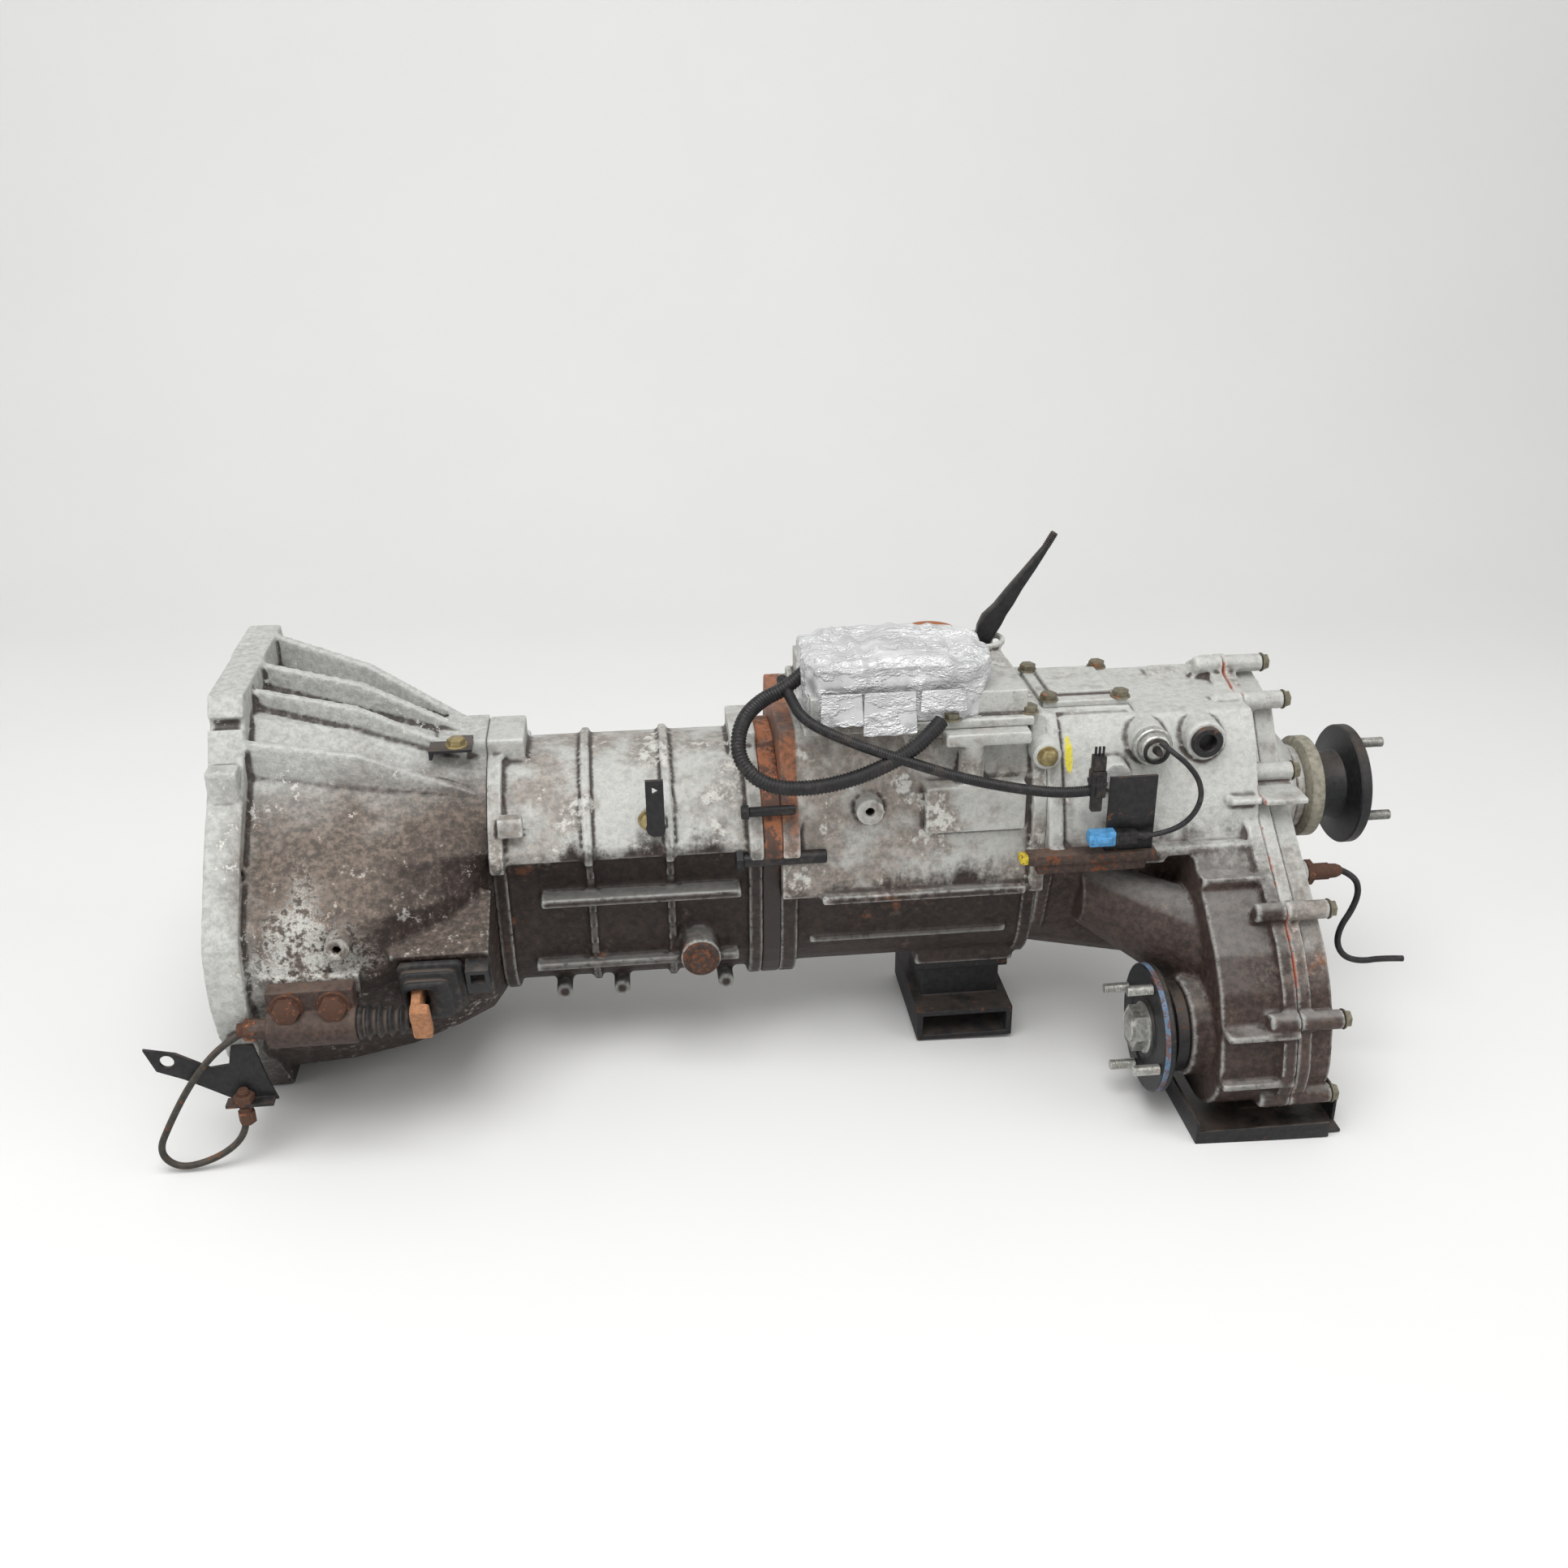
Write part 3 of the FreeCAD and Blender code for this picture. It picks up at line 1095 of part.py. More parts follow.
def wiring():
    main_run = cable([
        (520, -40, 160), (500, -52, 148), (480, -60, 144), (458, -84, 134), (452, -104, 108), (470, -118, 88),
        (500, -124, 82), (544, -124, 86), (590, -120, 102), (618, -112, 118), (634, -100, 130),
    ], 7, 6, "Harness")
    branch = cable([
        (500, -30, 150), (503, -64, 147), (512, -98, 135), (558, -114, 117), (609, -124, 100),
        (650, -128, 86), (700, -130, 74), (744, -130, 67), (764, -128, 68),
    ], 5, 6, "Branch")
    socket = fuse([box((14, 12, 40), (764, -134, 62), "Socket"), box((10, 8, 14), (766, -132, 48), "Latch")])
    node(group([main_run, branch, socket]), "wiring_harness")
    blue = fuse([box((34, 12, 14), (766, -137, 15), "Blue socket"),
                 box((22, 8, 10), (800, -136, 17), "Plug body")])
    node(blue, "blue_connector")
    node(cable([
        (822.3, -132, 22), (837, -133, 24), (856, -135, 35), (866, -136, 55), (862, -137, 76),
        (848, -138, 94), (836, -132, 103), (830, -118, 106),
    ], 2.5, 6, "SensorLead"), "sensor_lead")
    node(cable([
        (1020, -110, -38), (1034, -112, -44), (1040, -114, -60), (1034, -117, -78), (1024, -119, -94),
        (1022, -120, -112), (1032, -120, -128), (1050, -120, -134), (1070, -120, -132), (1092, -120, -134),
    ], 3, 6, "RearLead"), "rear_lead")


def clips_and_brackets():
    tab = fuse([box((16, 4, 44), (371, -107, 46), "Tab"), prism(9, 4, (379, -107, 44), "Y", 10)])
    pieces = [
        cut(tab, [prism(4, 8, (379, -108, 80), "Y", 3)]),
        fuse([
            box((38, 22, 3), (182, -60, 106), "Fold"), box((3, 22, 9), (182, -60, 100), "Fold end"),
            box((20, 14, 3), (199, -40, 106), "Fold tongue"),
        ]),
        fuse([box((44, 3, 70), (784, -125, 8), "Sensor plate"), box((44, 13, 4), (784, -125, 4), "Foot")]),
        boot_retainer(),
    ]
    node(pipe_bracket(), "pipe_bracket")
    return node(group(pieces), "clips_and_brackets")


def seals():
    bore = "(hub_outer + 2) / cos(9)"
    rear = prism("seal_outer", 18, ("cover_rear + 12", 0, 0), "X", 24)
    node(cut(rear, [prism(bore, 20, ("cover_rear + 11", 0, 0), "X", 20)]), "rear_dust_ring")
    start = "front_face + flange_thick"
    shield = prism("seal_outer - 8", 14, (f"{start} + 6", "drop_y", "drop_z"), "X", 24)
    node(cut(shield, [prism(bore, 16, (f"{start} + 5", "drop_y", "drop_z"), "X", 20)]), "front_dust_shield")


# Assembly
clutch_housing()
gearbox_case()
centre_plate()
adapter_housing()
control_housing()
transfer_front_case()
transfer_rear_cover()
transfer_cover_plate()
input_shaft()
countershaft()
for gear in ("third", "second", "first", "fifth"):
    free_gear(gear)
mainshaft()
for sleeve, station in SLEEVES.items():
    synchro_sleeve(sleeve, station)
synchro_sleeve("range", RANGE_SLEEVE)
node(fuse(shift_rail(SLEEVES["third_fourth"], 0, 262, 500)), "third_fourth_rail")
node(fuse(shift_rail(SLEEVES["first_second"], 1, 262, 500)), "first_second_rail")
node(fuse(shift_rail(SLEEVES["fifth_reverse"], -1, 440, 570)), "fifth_reverse_rail")
range_rail()
transfer_countershaft()
low_gear()
rear_output_shaft()
output_flange("rear_output_flange", d.flange_face, 0, 0, 1)
flange_studs("rear_flange_studs", d.flange_face, 0, 0, 1)
front_output_shaft()
output_flange("front_output_flange", d.front_face, d.drop_y, d.drop_z, -1)
flange_studs("front_flange_studs", d.front_face, d.drop_y, d.drop_z, -1)
shaft_bearings()
seals()
chain_sprocket()
drive_chain()
front_retainer()
release_bearing()
release_fork()
fork_pivot_stud()
fork_boot()
slave_cylinder()
slave_bellows()
slave_pushrod()
clutch_pipe()
case_bolts()
plugs()
skid_guard()
gearbox_mount()
transfer_lever()
lever_cap()
tape_wrap()
wiring()
clips_and_brackets()

# Check and write
doc.recompute()
for thing in doc.Objects:
    if "Invalid" in thing.State or "Error" in thing.State:
        raise RuntimeError(f"{thing.Label} failed: {thing.State}")
for thing in nodes:
    if thing.Shape.isNull() or not thing.Shape.isValid():
        raise RuntimeError(f"{thing.Label} has no valid shape")
    print(f"{thing.Label}: {len(thing.Shape.Solids)} solid, {thing.Shape.Volume / 1000:.1f} cm3")
    thing.Shape.exportStep(f"parts/{thing.Label}.step")
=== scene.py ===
"""A used gearbox with its transfer case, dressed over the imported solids.

Run as a script. Each piece is made by one operator of the sidebar's panel.
"""
import math

import bmesh
import bpy
from mathutils import Matrix, Vector, noise


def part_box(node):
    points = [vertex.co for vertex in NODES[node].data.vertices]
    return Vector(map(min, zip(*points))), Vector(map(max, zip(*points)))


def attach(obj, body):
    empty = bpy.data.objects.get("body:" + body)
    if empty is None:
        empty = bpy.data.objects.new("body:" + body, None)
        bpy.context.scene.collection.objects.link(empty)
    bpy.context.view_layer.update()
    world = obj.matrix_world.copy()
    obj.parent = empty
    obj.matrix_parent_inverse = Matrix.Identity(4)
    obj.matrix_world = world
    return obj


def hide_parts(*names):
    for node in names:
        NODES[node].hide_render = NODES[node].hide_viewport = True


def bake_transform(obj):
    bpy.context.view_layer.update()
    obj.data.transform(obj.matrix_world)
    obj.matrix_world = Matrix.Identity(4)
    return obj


bl_info = {
    "name": "Used gearbox and transfer case",
    "version": (1, 0, 0),
    "blender": (4, 5, 0),
    "location": "View3D > Sidebar > Gearbox",
    "description": "Dresses the packed solids of a gearbox with its looks",
    "category": "Object",
}

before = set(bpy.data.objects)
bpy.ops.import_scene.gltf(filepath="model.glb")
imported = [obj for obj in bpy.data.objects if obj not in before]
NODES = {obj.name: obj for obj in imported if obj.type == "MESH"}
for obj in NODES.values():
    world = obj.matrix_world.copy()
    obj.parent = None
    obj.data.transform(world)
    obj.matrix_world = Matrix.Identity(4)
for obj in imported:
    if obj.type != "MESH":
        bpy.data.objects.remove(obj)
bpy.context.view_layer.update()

# Stations that the pieces share, in millimetres: along the main axis, or (y, z) of an axis beside it
MAIN_FLANGE = 1069
FRONT_FLANGE = 818
DROP = (-176, -154)
SLAVE = (-205, -75)
SENSOR = (830, -92, 94)
COVER_JOINT = 935
FORK_ANGLE = math.radians(200.1)
UP, DOWN = Vector((0, 0, 1)), Vector((0, 0, -1))
REAR, FRONT = Vector((1, 0, 0)), Vector((-1, 0, 0))
NEAR = Vector((0, -1, 0))

# The camera that was fitted to the photo: its lens in millimetres, its place in metres and its two ways
LENS = 35.87
CAMERA_PLACE = (0.3657, -1.3545, 0.6549)
CAMERA_RIGHT, CAMERA_UP = Vector((0.9943, -0.1061, -0.0096)), Vector((0.0529, 0.4131, 0.9091))

# Routes of what bends, in metres
REAR_LEAD = (
    (1.020, -0.110, -0.038), (1.034, -0.112, -0.044), (1.040, -0.114, -0.060), (1.034, -0.117, -0.078),
    (1.024, -0.119, -0.094), (1.022, -0.120, -0.112), (1.032, -0.120, -0.128), (1.050, -0.120, -0.134),
    (1.070, -0.120, -0.132), (1.092, -0.120, -0.134),
)
SENSOR_LEAD = (
    (0.8223, -0.132, 0.022), (0.837, -0.133, 0.024), (0.856, -0.135, 0.035), (0.866, -0.136, 0.055),
    (0.862, -0.137, 0.076), (0.848, -0.138, 0.094), (0.836, -0.132, 0.103), (0.830, -0.118, 0.106),
)
CLUTCH_PIPE = (
    (0.029, -0.205, -0.0752), (0.016, -0.208, -0.080), (-0.004, -0.214, -0.094), (-0.026, -0.216, -0.122),
    (-0.046, -0.217, -0.156), (-0.060, -0.218, -0.184), (-0.046, -0.217, -0.203), (-0.018, -0.216, -0.198),
    (0.006, -0.214, -0.184), (0.016, -0.212, -0.166), (0.017, -0.211, -0.150),
)
LOOM = (
    (0.520, -0.040, 0.160), (0.500, -0.052, 0.148), (0.480, -0.060, 0.144), (0.458, -0.084, 0.134),
    (0.452, -0.104, 0.108), (0.470, -0.118, 0.088), (0.500, -0.124, 0.082), (0.544, -0.124, 0.086),
    (0.590, -0.120, 0.102), (0.618, -0.112, 0.118), (0.634, -0.100, 0.130),
)
BRANCH = (
    (0.500, -0.030, 0.150), (0.503, -0.064, 0.147), (0.512, -0.098, 0.135), (0.558, -0.114, 0.117),
    (0.609, -0.124, 0.100), (0.650, -0.128, 0.086), (0.700, -0.130, 0.074), (0.744, -0.130, 0.067),
    (0.764, -0.128, 0.068),
)


# Sizes and colours that a user may change
def length(name, described, default, low, high):
    """A length property, in metres."""
    return bpy.props.FloatProperty(
        name=name, description=described, default=default, min=low, max=high, unit="LENGTH")


class GearboxSizes(bpy.types.PropertyGroup):
    """Sizes of the pieces that the scene adds."""
    grain: length("Casting grain", "Edge of the cells that a casting is rebuilt from", 0.0023, 0.0015, 0.01)
    soften: bpy.props.IntProperty(
        name="Casting softness", description="Passes that round the edges of a casting", default=3, min=0, max=30)
    head: length("Bolt head", "Radius of a bolt's hexagon, to its corners", 0.0078, 0.004, 0.02)
    head_high: length("Bolt head height", "Height of the hexagon above its flange", 0.0052, 0.002, 0.02)
    washer: length("Bolt flange", "Radius of the flange under a bolt's head", 0.0094, 0.004, 0.03)
    washer_high: length("Bolt flange height", "Height of the flange under a bolt's head", 0.0016, 0.0005, 0.01)
    rib_pitch: length("Conduit pitch", "Distance between two ribs of the split conduit", 0.0032, 0.001, 0.01)
    rib_high: length("Conduit rib", "Height of a rib of the split conduit", 0.0008, 0.0001, 0.003)
    crease: length("Tape creases", "Depth of the creases in the tape", 0.0042, 0.0, 0.01)
    boot_fold: length("Boot folds", "Depth of the folds in the rubber boot", 0.0042, 0.0, 0.01)


def tint(name, described, *rgb):
    """A colour property given in the screen's own values."""
    return bpy.props.FloatVectorProperty(
        name=name, description=described, subtype="COLOR_GAMMA", size=3, min=0, max=1,
        default=tuple(value / 255 for value in rgb))


class GearboxColours(bpy.types.PropertyGroup):
    """Colours of the finishes."""
    aluminium: tint("Aluminium", "Clean cast aluminium", 192, 193, 189)
    film: tint("Oil film", "Thin brown film on aluminium", 122, 106, 94)
    # Grime also darkens the hollows of the castings, the steel, the rust and the plate: painted shade.
    grime_and_shade: tint("Grime", "Baked oil and road dirt", 46, 35, 31)
    oxide: tint("Oxide", "White corrosion on aluminium", 224, 225, 219)
    rust: tint("Rust", "Bright rust", 156, 98, 66)
    old_rust: tint("Old rust", "Dark rust", 82, 58, 47)
    steel: tint("Steel", "Machined steel", 168, 168, 164)
    paint: tint("Black paint", "Paint of the flanges and the guard", 30, 30, 31)
    rubber: tint("Rubber", "Boot, bellows and mount", 38, 38, 39)
    plastic: tint("Black plastic", "Plugs and conduit", 27, 27, 29)
    blue: tint("Blue plastic", "The lead's socket", 78, 142, 190)
    tape: tint("Tape", "Silver cloth tape", 206, 207, 207)
    ring: tint("Dust ring", "Grey-beige sealing ring", 140, 136, 122)


def sizes():
    return bpy.context.scene.gearbox_sizes


def colours():
    return bpy.context.scene.gearbox_colours


# Shader maths
class Graph:
    """Adds nodes to one tree, and gives their outputs as terms."""

    def __init__(self, tree):
        self.tree = tree

    def node(self, kind, settings=None, values=None, out=0):
        """One node: its settings first, then the values or links of its sockets."""
        made = self.tree.nodes.new(kind)
        for key, value in (settings or {}).items():
            setattr(made, key, value)
        for key, value in (values or {}).items():
            if isinstance(value, Term):
                self.tree.links.new(value.socket, made.inputs[key])
            else:
                made.inputs[key].default_value = value
        return Term(self, made.outputs[out]) if len(made.outputs) else None


def arithmetic(operation, swapped=False):
    """A method of Term that adds one Math node."""
    def method(self, *others):
        values = (*others, self) if swapped else (self, *others)
        return self.graph.node("ShaderNodeMath", {"operation": operation}, dict(enumerate(values)))
    return method


class Term:
    """A node's output. Arithmetic on terms adds the Math nodes that it needs."""

    def __init__(self, graph, socket):
        self.graph = graph
        self.socket = socket

    __add__, __radd__ = arithmetic("ADD"), arithmetic("ADD", swapped=True)
    __sub__, __rsub__ = arithmetic("SUBTRACT"), arithmetic("SUBTRACT", swapped=True)
    __mul__, __rmul__ = arithmetic("MULTIPLY"), arithmetic("MULTIPLY", swapped=True)
    __truediv__, __abs__ = arithmetic("DIVIDE"), arithmetic("ABSOLUTE")
    most, sine = arithmetic("MAXIMUM"), arithmetic("SINE")

    def between(self, low, high):
        """0 up to low and 1 from high on, with a soft step."""
        return self.graph.node("ShaderNodeMapRange", {"interpolation_type": "SMOOTHSTEP"},
                               {"Value": self, "From Min": low, "From Max": high})


class Finish(Graph):
    """One material, with its patterns laid out on object coordinates."""

    def __init__(self, name):
        self.material = bpy.data.materials.new(name)
        self.material.use_nodes = True
        super().__init__(self.material.node_tree)
        self.tree.nodes.clear()
        self.place = self.node("ShaderNodeTexCoord", out="Object")
        self.x, self.y, self.z = self.axes(self.place)
        self.up = self.axes(self.node("ShaderNodeNewGeometry", out="Normal"))[2]
        self.edge = self.node("ShaderNodeNewGeometry", out="Pointiness")

    def axes(self, vector):
        split = self.node("ShaderNodeSeparateXYZ", values={0: vector})
        outputs = split.socket.node.outputs
        return [Term(self, outputs[axis]) for axis in range(3)]

    def noise(self, scale, detail=4.0, rough=0.55, stretch=None):
        """Fractal noise of that many cells to the metre."""
        place = self.place
        if stretch:
            place = self.node("ShaderNodeMapping", values={"Vector": place, "Scale": stretch})
        return self.node("ShaderNodeTexNoise", values={
            "Vector": place, "Scale": scale, "Detail": detail, "Roughness": rough})

    def mix(self, amount, first, second):
        return self.node("ShaderNodeMix", {"data_type": "RGBA", "clamp_factor": True},
                         {0: amount, 6: first, 7: second}, out=2)

    def shades(self, amount, colour, low, high):
        """From one shade of a colour to another."""
        return self.mix(amount, linear(colour, low), linear(colour, high))

    def rusts(self, fresh):
        """Dark rust, and bright rust where it is fresh."""
        return self.mix(fresh, linear(colours().old_rust), linear(colours().rust))

    def both(self, first, second, share, low, high):
        """Two patterns added by their shares, and cut between two levels."""
        return (first * share + second * (1 - share)).between(low, high)

    def hollow(self, low, high):
        """Grooves and inner corners."""
        return (0.5 - self.edge).between(low, high)

    def ridge(self, low, high):
        """Outer edges."""
        return (self.edge - 0.5).between(low, high)

    def surface(self, colour, rough, metal=0.0, bumps=(), specular=0.5):
        """The shader: bumps holds (height, depth in metres)."""
        normal = None
        for height, depth in bumps:
            values = {"Height": height, "Strength": 1.0, "Distance": depth}
            if normal:
                values["Normal"] = normal
            normal = self.node("ShaderNodeBump", values=values)
        values = {"Base Color": colour, "Roughness": rough, "Metallic": metal, "Specular IOR Level": specular}
        if normal:
            values["Normal"] = normal
        shader = self.node("ShaderNodeBsdfPrincipled", values=values)
        self.node("ShaderNodeOutputMaterial", values={"Surface": shader})
        return self.material


def linear(rgb, shade=1.0):
    """A screen colour as the renderer counts it."""
    return tuple(shade * ((v + 0.055) / 1.055) ** 2.4 if v > 0.04045 else shade * v / 12.92 for v in rgb) + (1.0,)


def finish(name):
    """A material by name, made once."""
    if name not in bpy.data.materials:
        FINISHES[name](name)
    return bpy.data.materials[name]


def cast_finish(name, dirt_top, dirt_low, film=0.5, oxide=0.5, rust=0.0, shade=1.0, soot=0.5, tar=1.0, marks=None):
    """Sand-cast aluminium that turns from pale to oily brown between two heights."""
    c, f = colours(), Finish(name)
    broad = f.noise(5.5, 4, 0.55)
    patch = f.noise(22, 7, 0.68)
    speck = f.noise(150, 6, 0.72)
    grain = f.noise(900, 3, 0.6)
    runs = f.noise(28, 5, 0.62, stretch=(1.0, 1.0, 0.2))
    clean = f.shades(speck.between(0.36, 0.66), c.aluminium, 0.84 * shade, 1.12 * shade)
    filmed = f.both(broad, patch, 0.5, 0.54 - 0.2 * film, 0.68 - 0.18 * film) * (0.5 + 0.4 * film)
    filmed = filmed.most(f.both(speck, grain, 0.6, 0.5, 0.62) * film * 0.7)
    colour = f.mix(filmed, clean, f.shades(speck.between(0.4, 0.62), c.film, 0.6, 1.35))
    powder = f.both(patch, speck, 0.75, 0.63 - 0.14 * oxide, 0.68 - 0.14 * oxide)
    powder = powder * broad.between(0.42 - 0.1 * oxide, 0.56) * 0.8
    colour = f.mix(powder * 0.9, colour, f.shades(grain.between(0.4, 0.6), c.oxide, 0.8, 1.05))
    height = f.z + (broad - 0.5) * 0.07 + (runs - 0.5) * 0.07 + (speck - 0.5) * 0.03
    dirty = 1 - height.between(dirt_low, dirt_top)
    # Faces that point up keep less of the dark colour below the line: a painted highlight on their tops.
    facing_up = f.up.between(0.45, 0.97)
    # Hollows and inner corners take the dark colour as well: painted shade, not dirt.
    hollow_shade = f.hollow(0.004, 0.028)
    spots = f.both(runs, speck, 0.6, 0.62 - 0.1 * soot, 0.7 - 0.08 * soot)
    dirt_and_shade = (dirty * (0.98 - facing_up * 0.35)).most(hollow_shade * 0.9).most(spots * soot)
    dirt_and_shade = dirt_and_shade * (1 - powder * (1 - dirty) * 0.8)
    # This dark colour paints the grime and soot, and also the painted shade in hollows.
    oil = f.shades(speck.between(0.34, 0.66), c.grime_and_shade, 0.5 * tar, 1.5 * tar)
    oil = f.mix(f.both(patch, speck, 0.5, 0.56, 0.63) * 0.5, oil, linear(c.film, 0.7))
    colour = f.mix(dirt_and_shade, colour, oil)
    if rust:
        rusty = f.both(patch, broad, 0.7, 0.64 - 0.15 * rust, 0.68 - 0.1 * rust) * dirty.between(0.1, 0.8)
        colour = f.mix(rusty * 0.6, colour, linear(c.rust, 0.7))
    worn = f.ridge(0.012, 0.06) * (1 - dirt_and_shade * 0.35) * speck.between(0.3, 0.5)
    colour = f.mix(worn * 0.8, colour, linear(c.aluminium, 1.2))
    if marks:
        colour = marks(f, colour, patch, speck)
    rough = 0.56 + powder * 0.25 - dirt_and_shade * 0.1 + (speck - 0.5) * 0.2
    return f.surface(colour, rough, metal=0.2 * (1 - dirt_and_shade) * (1 - powder), specular=0.28,
                     bumps=((speck, 0.0016), (grain, 0.0005)))


def sealant(f, colour, patch, speck):
    """A bead of orange sealant pressed out of the joint between case and rear cover."""
    bead = 1 - abs(f.x - COVER_JOINT / 1000).between(0.0008, 0.0024)
    bead = bead * f.both(patch, speck, 0.6, 0.5, 0.56)
    return f.mix(bead * 0.85, colour, (0.42, 0.11, 0.055, 1))


def transfer_marks(f, colour, patch, speck):
    """The sealant's bead, and a dab of yellow paint on the near side."""
    colour = sealant(f, colour, patch, speck)
    across = (f.x - 0.757 + (speck - 0.5) * 0.004) * 260
    along = (f.z - 0.083) * 62
    dab = (1 - (across * across + along * along).between(0.7, 1.1)) * (0 - f.y).between(0.04, 0.06)
    return f.mix(dab * speck.between(0.36, 0.5), colour, (0.72, 0.62, 0.06, 1))


def band_rust(f, colour, patch, speck):
    """Rust on the adapter's own flange, next to the iron plate."""
    near = 1 - f.x.between(0.506, 0.5085)
    rust = f.rusts(f.both(patch, speck, 0.6, 0.42, 0.58))
    height = (f.z + (patch - 0.5) * 0.06).between(0.0, 0.05)
    return f.mix(near * height * 0.9, colour, rust)


def steel_finish(name, clean, rusty=0.3, metal=0.85, rough=0.34, dark=0.5):
    """Bare or plated steel with rust coming through."""
    c, f = colours(), Finish(name)
    patch, speck, grain = f.noise(45, 5, 0.65), f.noise(260, 4, 0.6), f.noise(1500, 2, 0.5)
    base = f.shades(speck.between(0.35, 0.68), clean, 0.7, 1.1)
    rust = f.rusts(speck.between(0.4, 0.62))
    taken = f.both(patch, speck, 0.6, 0.64 - 0.3 * rusty, 0.7 - 0.2 * rusty)
    colour = f.mix(taken, base, rust)
    # Hollows and recesses are darkened with the grime colour and made less metallic, by the share dark: painted
    # shade.
    low = f.hollow(0.0, 0.06)
    colour = f.mix(low * dark, colour, linear(c.grime_and_shade, 0.6))
    rough = rough + taken * 0.42 + (grain - 0.5) * 0.15
    return f.surface(colour, rough, metal=metal * (1 - taken) * (1 - low * dark), specular=0.4,
                     bumps=((speck * (0.4 + taken), 0.0005), (grain, 0.00012)))


def rust_finish(name, bright):
    """Steel that is rusted all over, orange where it is fresh."""
    c, f = colours(), Finish(name)
    patch, speck, grain = f.noise(38, 6, 0.7), f.noise(240, 4, 0.65), f.noise(1300, 2, 0.5)
    colour = f.rusts(f.both(patch, speck, 0.6, 0.6 - 0.25 * bright, 0.72 - 0.25 * bright))
    colour = f.mix(f.both(speck, grain, 0.7, 0.56, 0.68) * 0.6, colour, linear(c.rust, 1.3))
    # Hollows are darkened with the grime colour: painted shade.
    colour = f.mix(f.hollow(0.0, 0.06) * 0.8, colour, linear(c.grime_and_shade, 0.6))
    return f.surface(colour, 0.78 + (speck - 0.5) * 0.25, specular=0.25,
                     bumps=((speck, 0.0009), (grain, 0.0002)))


def painted_finish(name, paint, rusty, rough, dust):
    """Old paint with chips that rust, and dust on what faces up."""
    c, f = colours(), Finish(name)
    patch, speck, grain = f.noise(40, 5, 0.65), f.noise(220, 4, 0.6), f.noise(1200, 2, 0.5)
    base = f.shades(speck.between(0.3, 0.7), paint, 0.7, 1.5)
    dusty = f.up.between(0.1, 0.9) * patch.between(0.3, 0.65) * dust
    base = f.mix(dusty, base, linear(c.film, 1.1))
    chips = ((patch * 0.45 + speck * 0.55) + (f.edge - 0.5) * 1.4).between(0.7 - 0.22 * rusty, 0.74 - 0.22 * rusty)
    colour = f.mix(chips * 0.8, base, f.mix(speck.between(0.45, 0.6), linear(c.old_rust, 0.8), linear(c.rust, 0.5)))
    return f.surface(colour, rough + chips * 0.4 + dusty * 0.3 + (speck - 0.5) * 0.12, specular=0.3,
                     bumps=((speck * 0.5 - chips * 0.5, 0.0004), (grain, 0.00012)))


def rubber_finish(name, rubber, rough=0.6, dust=0.45, fine=900, depth=0.00015):
    """Rubber or plastic with dust in its folds and a dry bloom."""
    c, f = colours(), Finish(name)
    patch, speck, grain = f.noise(30, 5, 0.6), f.noise(190, 4, 0.6), f.noise(fine, 2, 0.5)
    base = f.shades(speck.between(0.3, 0.7), rubber, 0.7, 1.35)
    dusty = f.both(patch, speck, 0.6, 0.46, 0.7) * dust
    dusty = dusty.most(f.hollow(0.0, 0.06) * dust * 1.2)
    colour = f.mix(dusty, base, linear(c.film, 0.8))
    return f.surface(colour, rough + dusty * 0.25 + (speck - 0.5) * 0.12, specular=0.3,
                     bumps=((speck, depth * 2), (grain, depth)))


def tape_finish(name):
    """Silver cloth tape: fine creases, a faint weave, patches of dirt, and painted shade in its hollows."""
    c, f = colours(), Finish(name)
    patch, speck = f.noise(22, 5, 0.6), f.noise(130, 4, 0.6)
    crease = f.noise(34, 5, 0.72, stretch=(0.5, 1.0, 1.0))
    ridge = 1 - abs(crease - 0.5) * 14
    weave = (f.x * 5200).sine() + (f.y * 5200).sine()
    base = f.shades(patch.between(0.35, 0.7), c.tape, 0.82, 1.12)
    dirty = f.both(patch, speck, 0.5, 0.58, 0.74) * 0.4
    # Patches of dirt take the darker colour, and so do the tape's hollows at half strength: the hollows are painted
    # shade.
    colour = f.mix(dirty.most(f.hollow(0.005, 0.06) * 0.5), base, linear(c.film, 0.9))
    return f.surface(colour, 0.36 + (patch - 0.5) * 0.3 + dirty * 0.3, metal=0.35,
                     bumps=((ridge.most(0.0), 0.0012), (speck, 0.0004), (weave, 0.00003)))


def plate_finish(name):
    """The iron plate between the cases: orange rust above, oily and dark below."""
    c, f = colours(), Finish(name)
    broad, patch, speck = f.noise(16, 4, 0.6), f.noise(50, 5, 0.66), f.noise(220, 4, 0.62)
    rust = f.rusts(f.both(patch, speck, 0.6, 0.44, 0.58))
    colour = f.mix(broad.between(0.56, 0.68) * 0.7, rust, linear(c.aluminium, 0.55))
    height = f.z + (broad - 0.5) * 0.09 + (patch - 0.5) * 0.05
    oily = 1 - height.between(-0.02, 0.03)
    colour = f.mix(oily, colour, linear(c.grime_and_shade, 0.7))
    # Hollows are darkened further with the grime colour: painted shade.
    colour = f.mix(f.hollow(0.0, 0.05) * 0.8, colour, linear(c.grime_and_shade, 0.5))
    return f.surface(colour, 0.72 - oily * 0.22 + (speck - 0.5) * 0.2, bumps=((speck, 0.0007),))


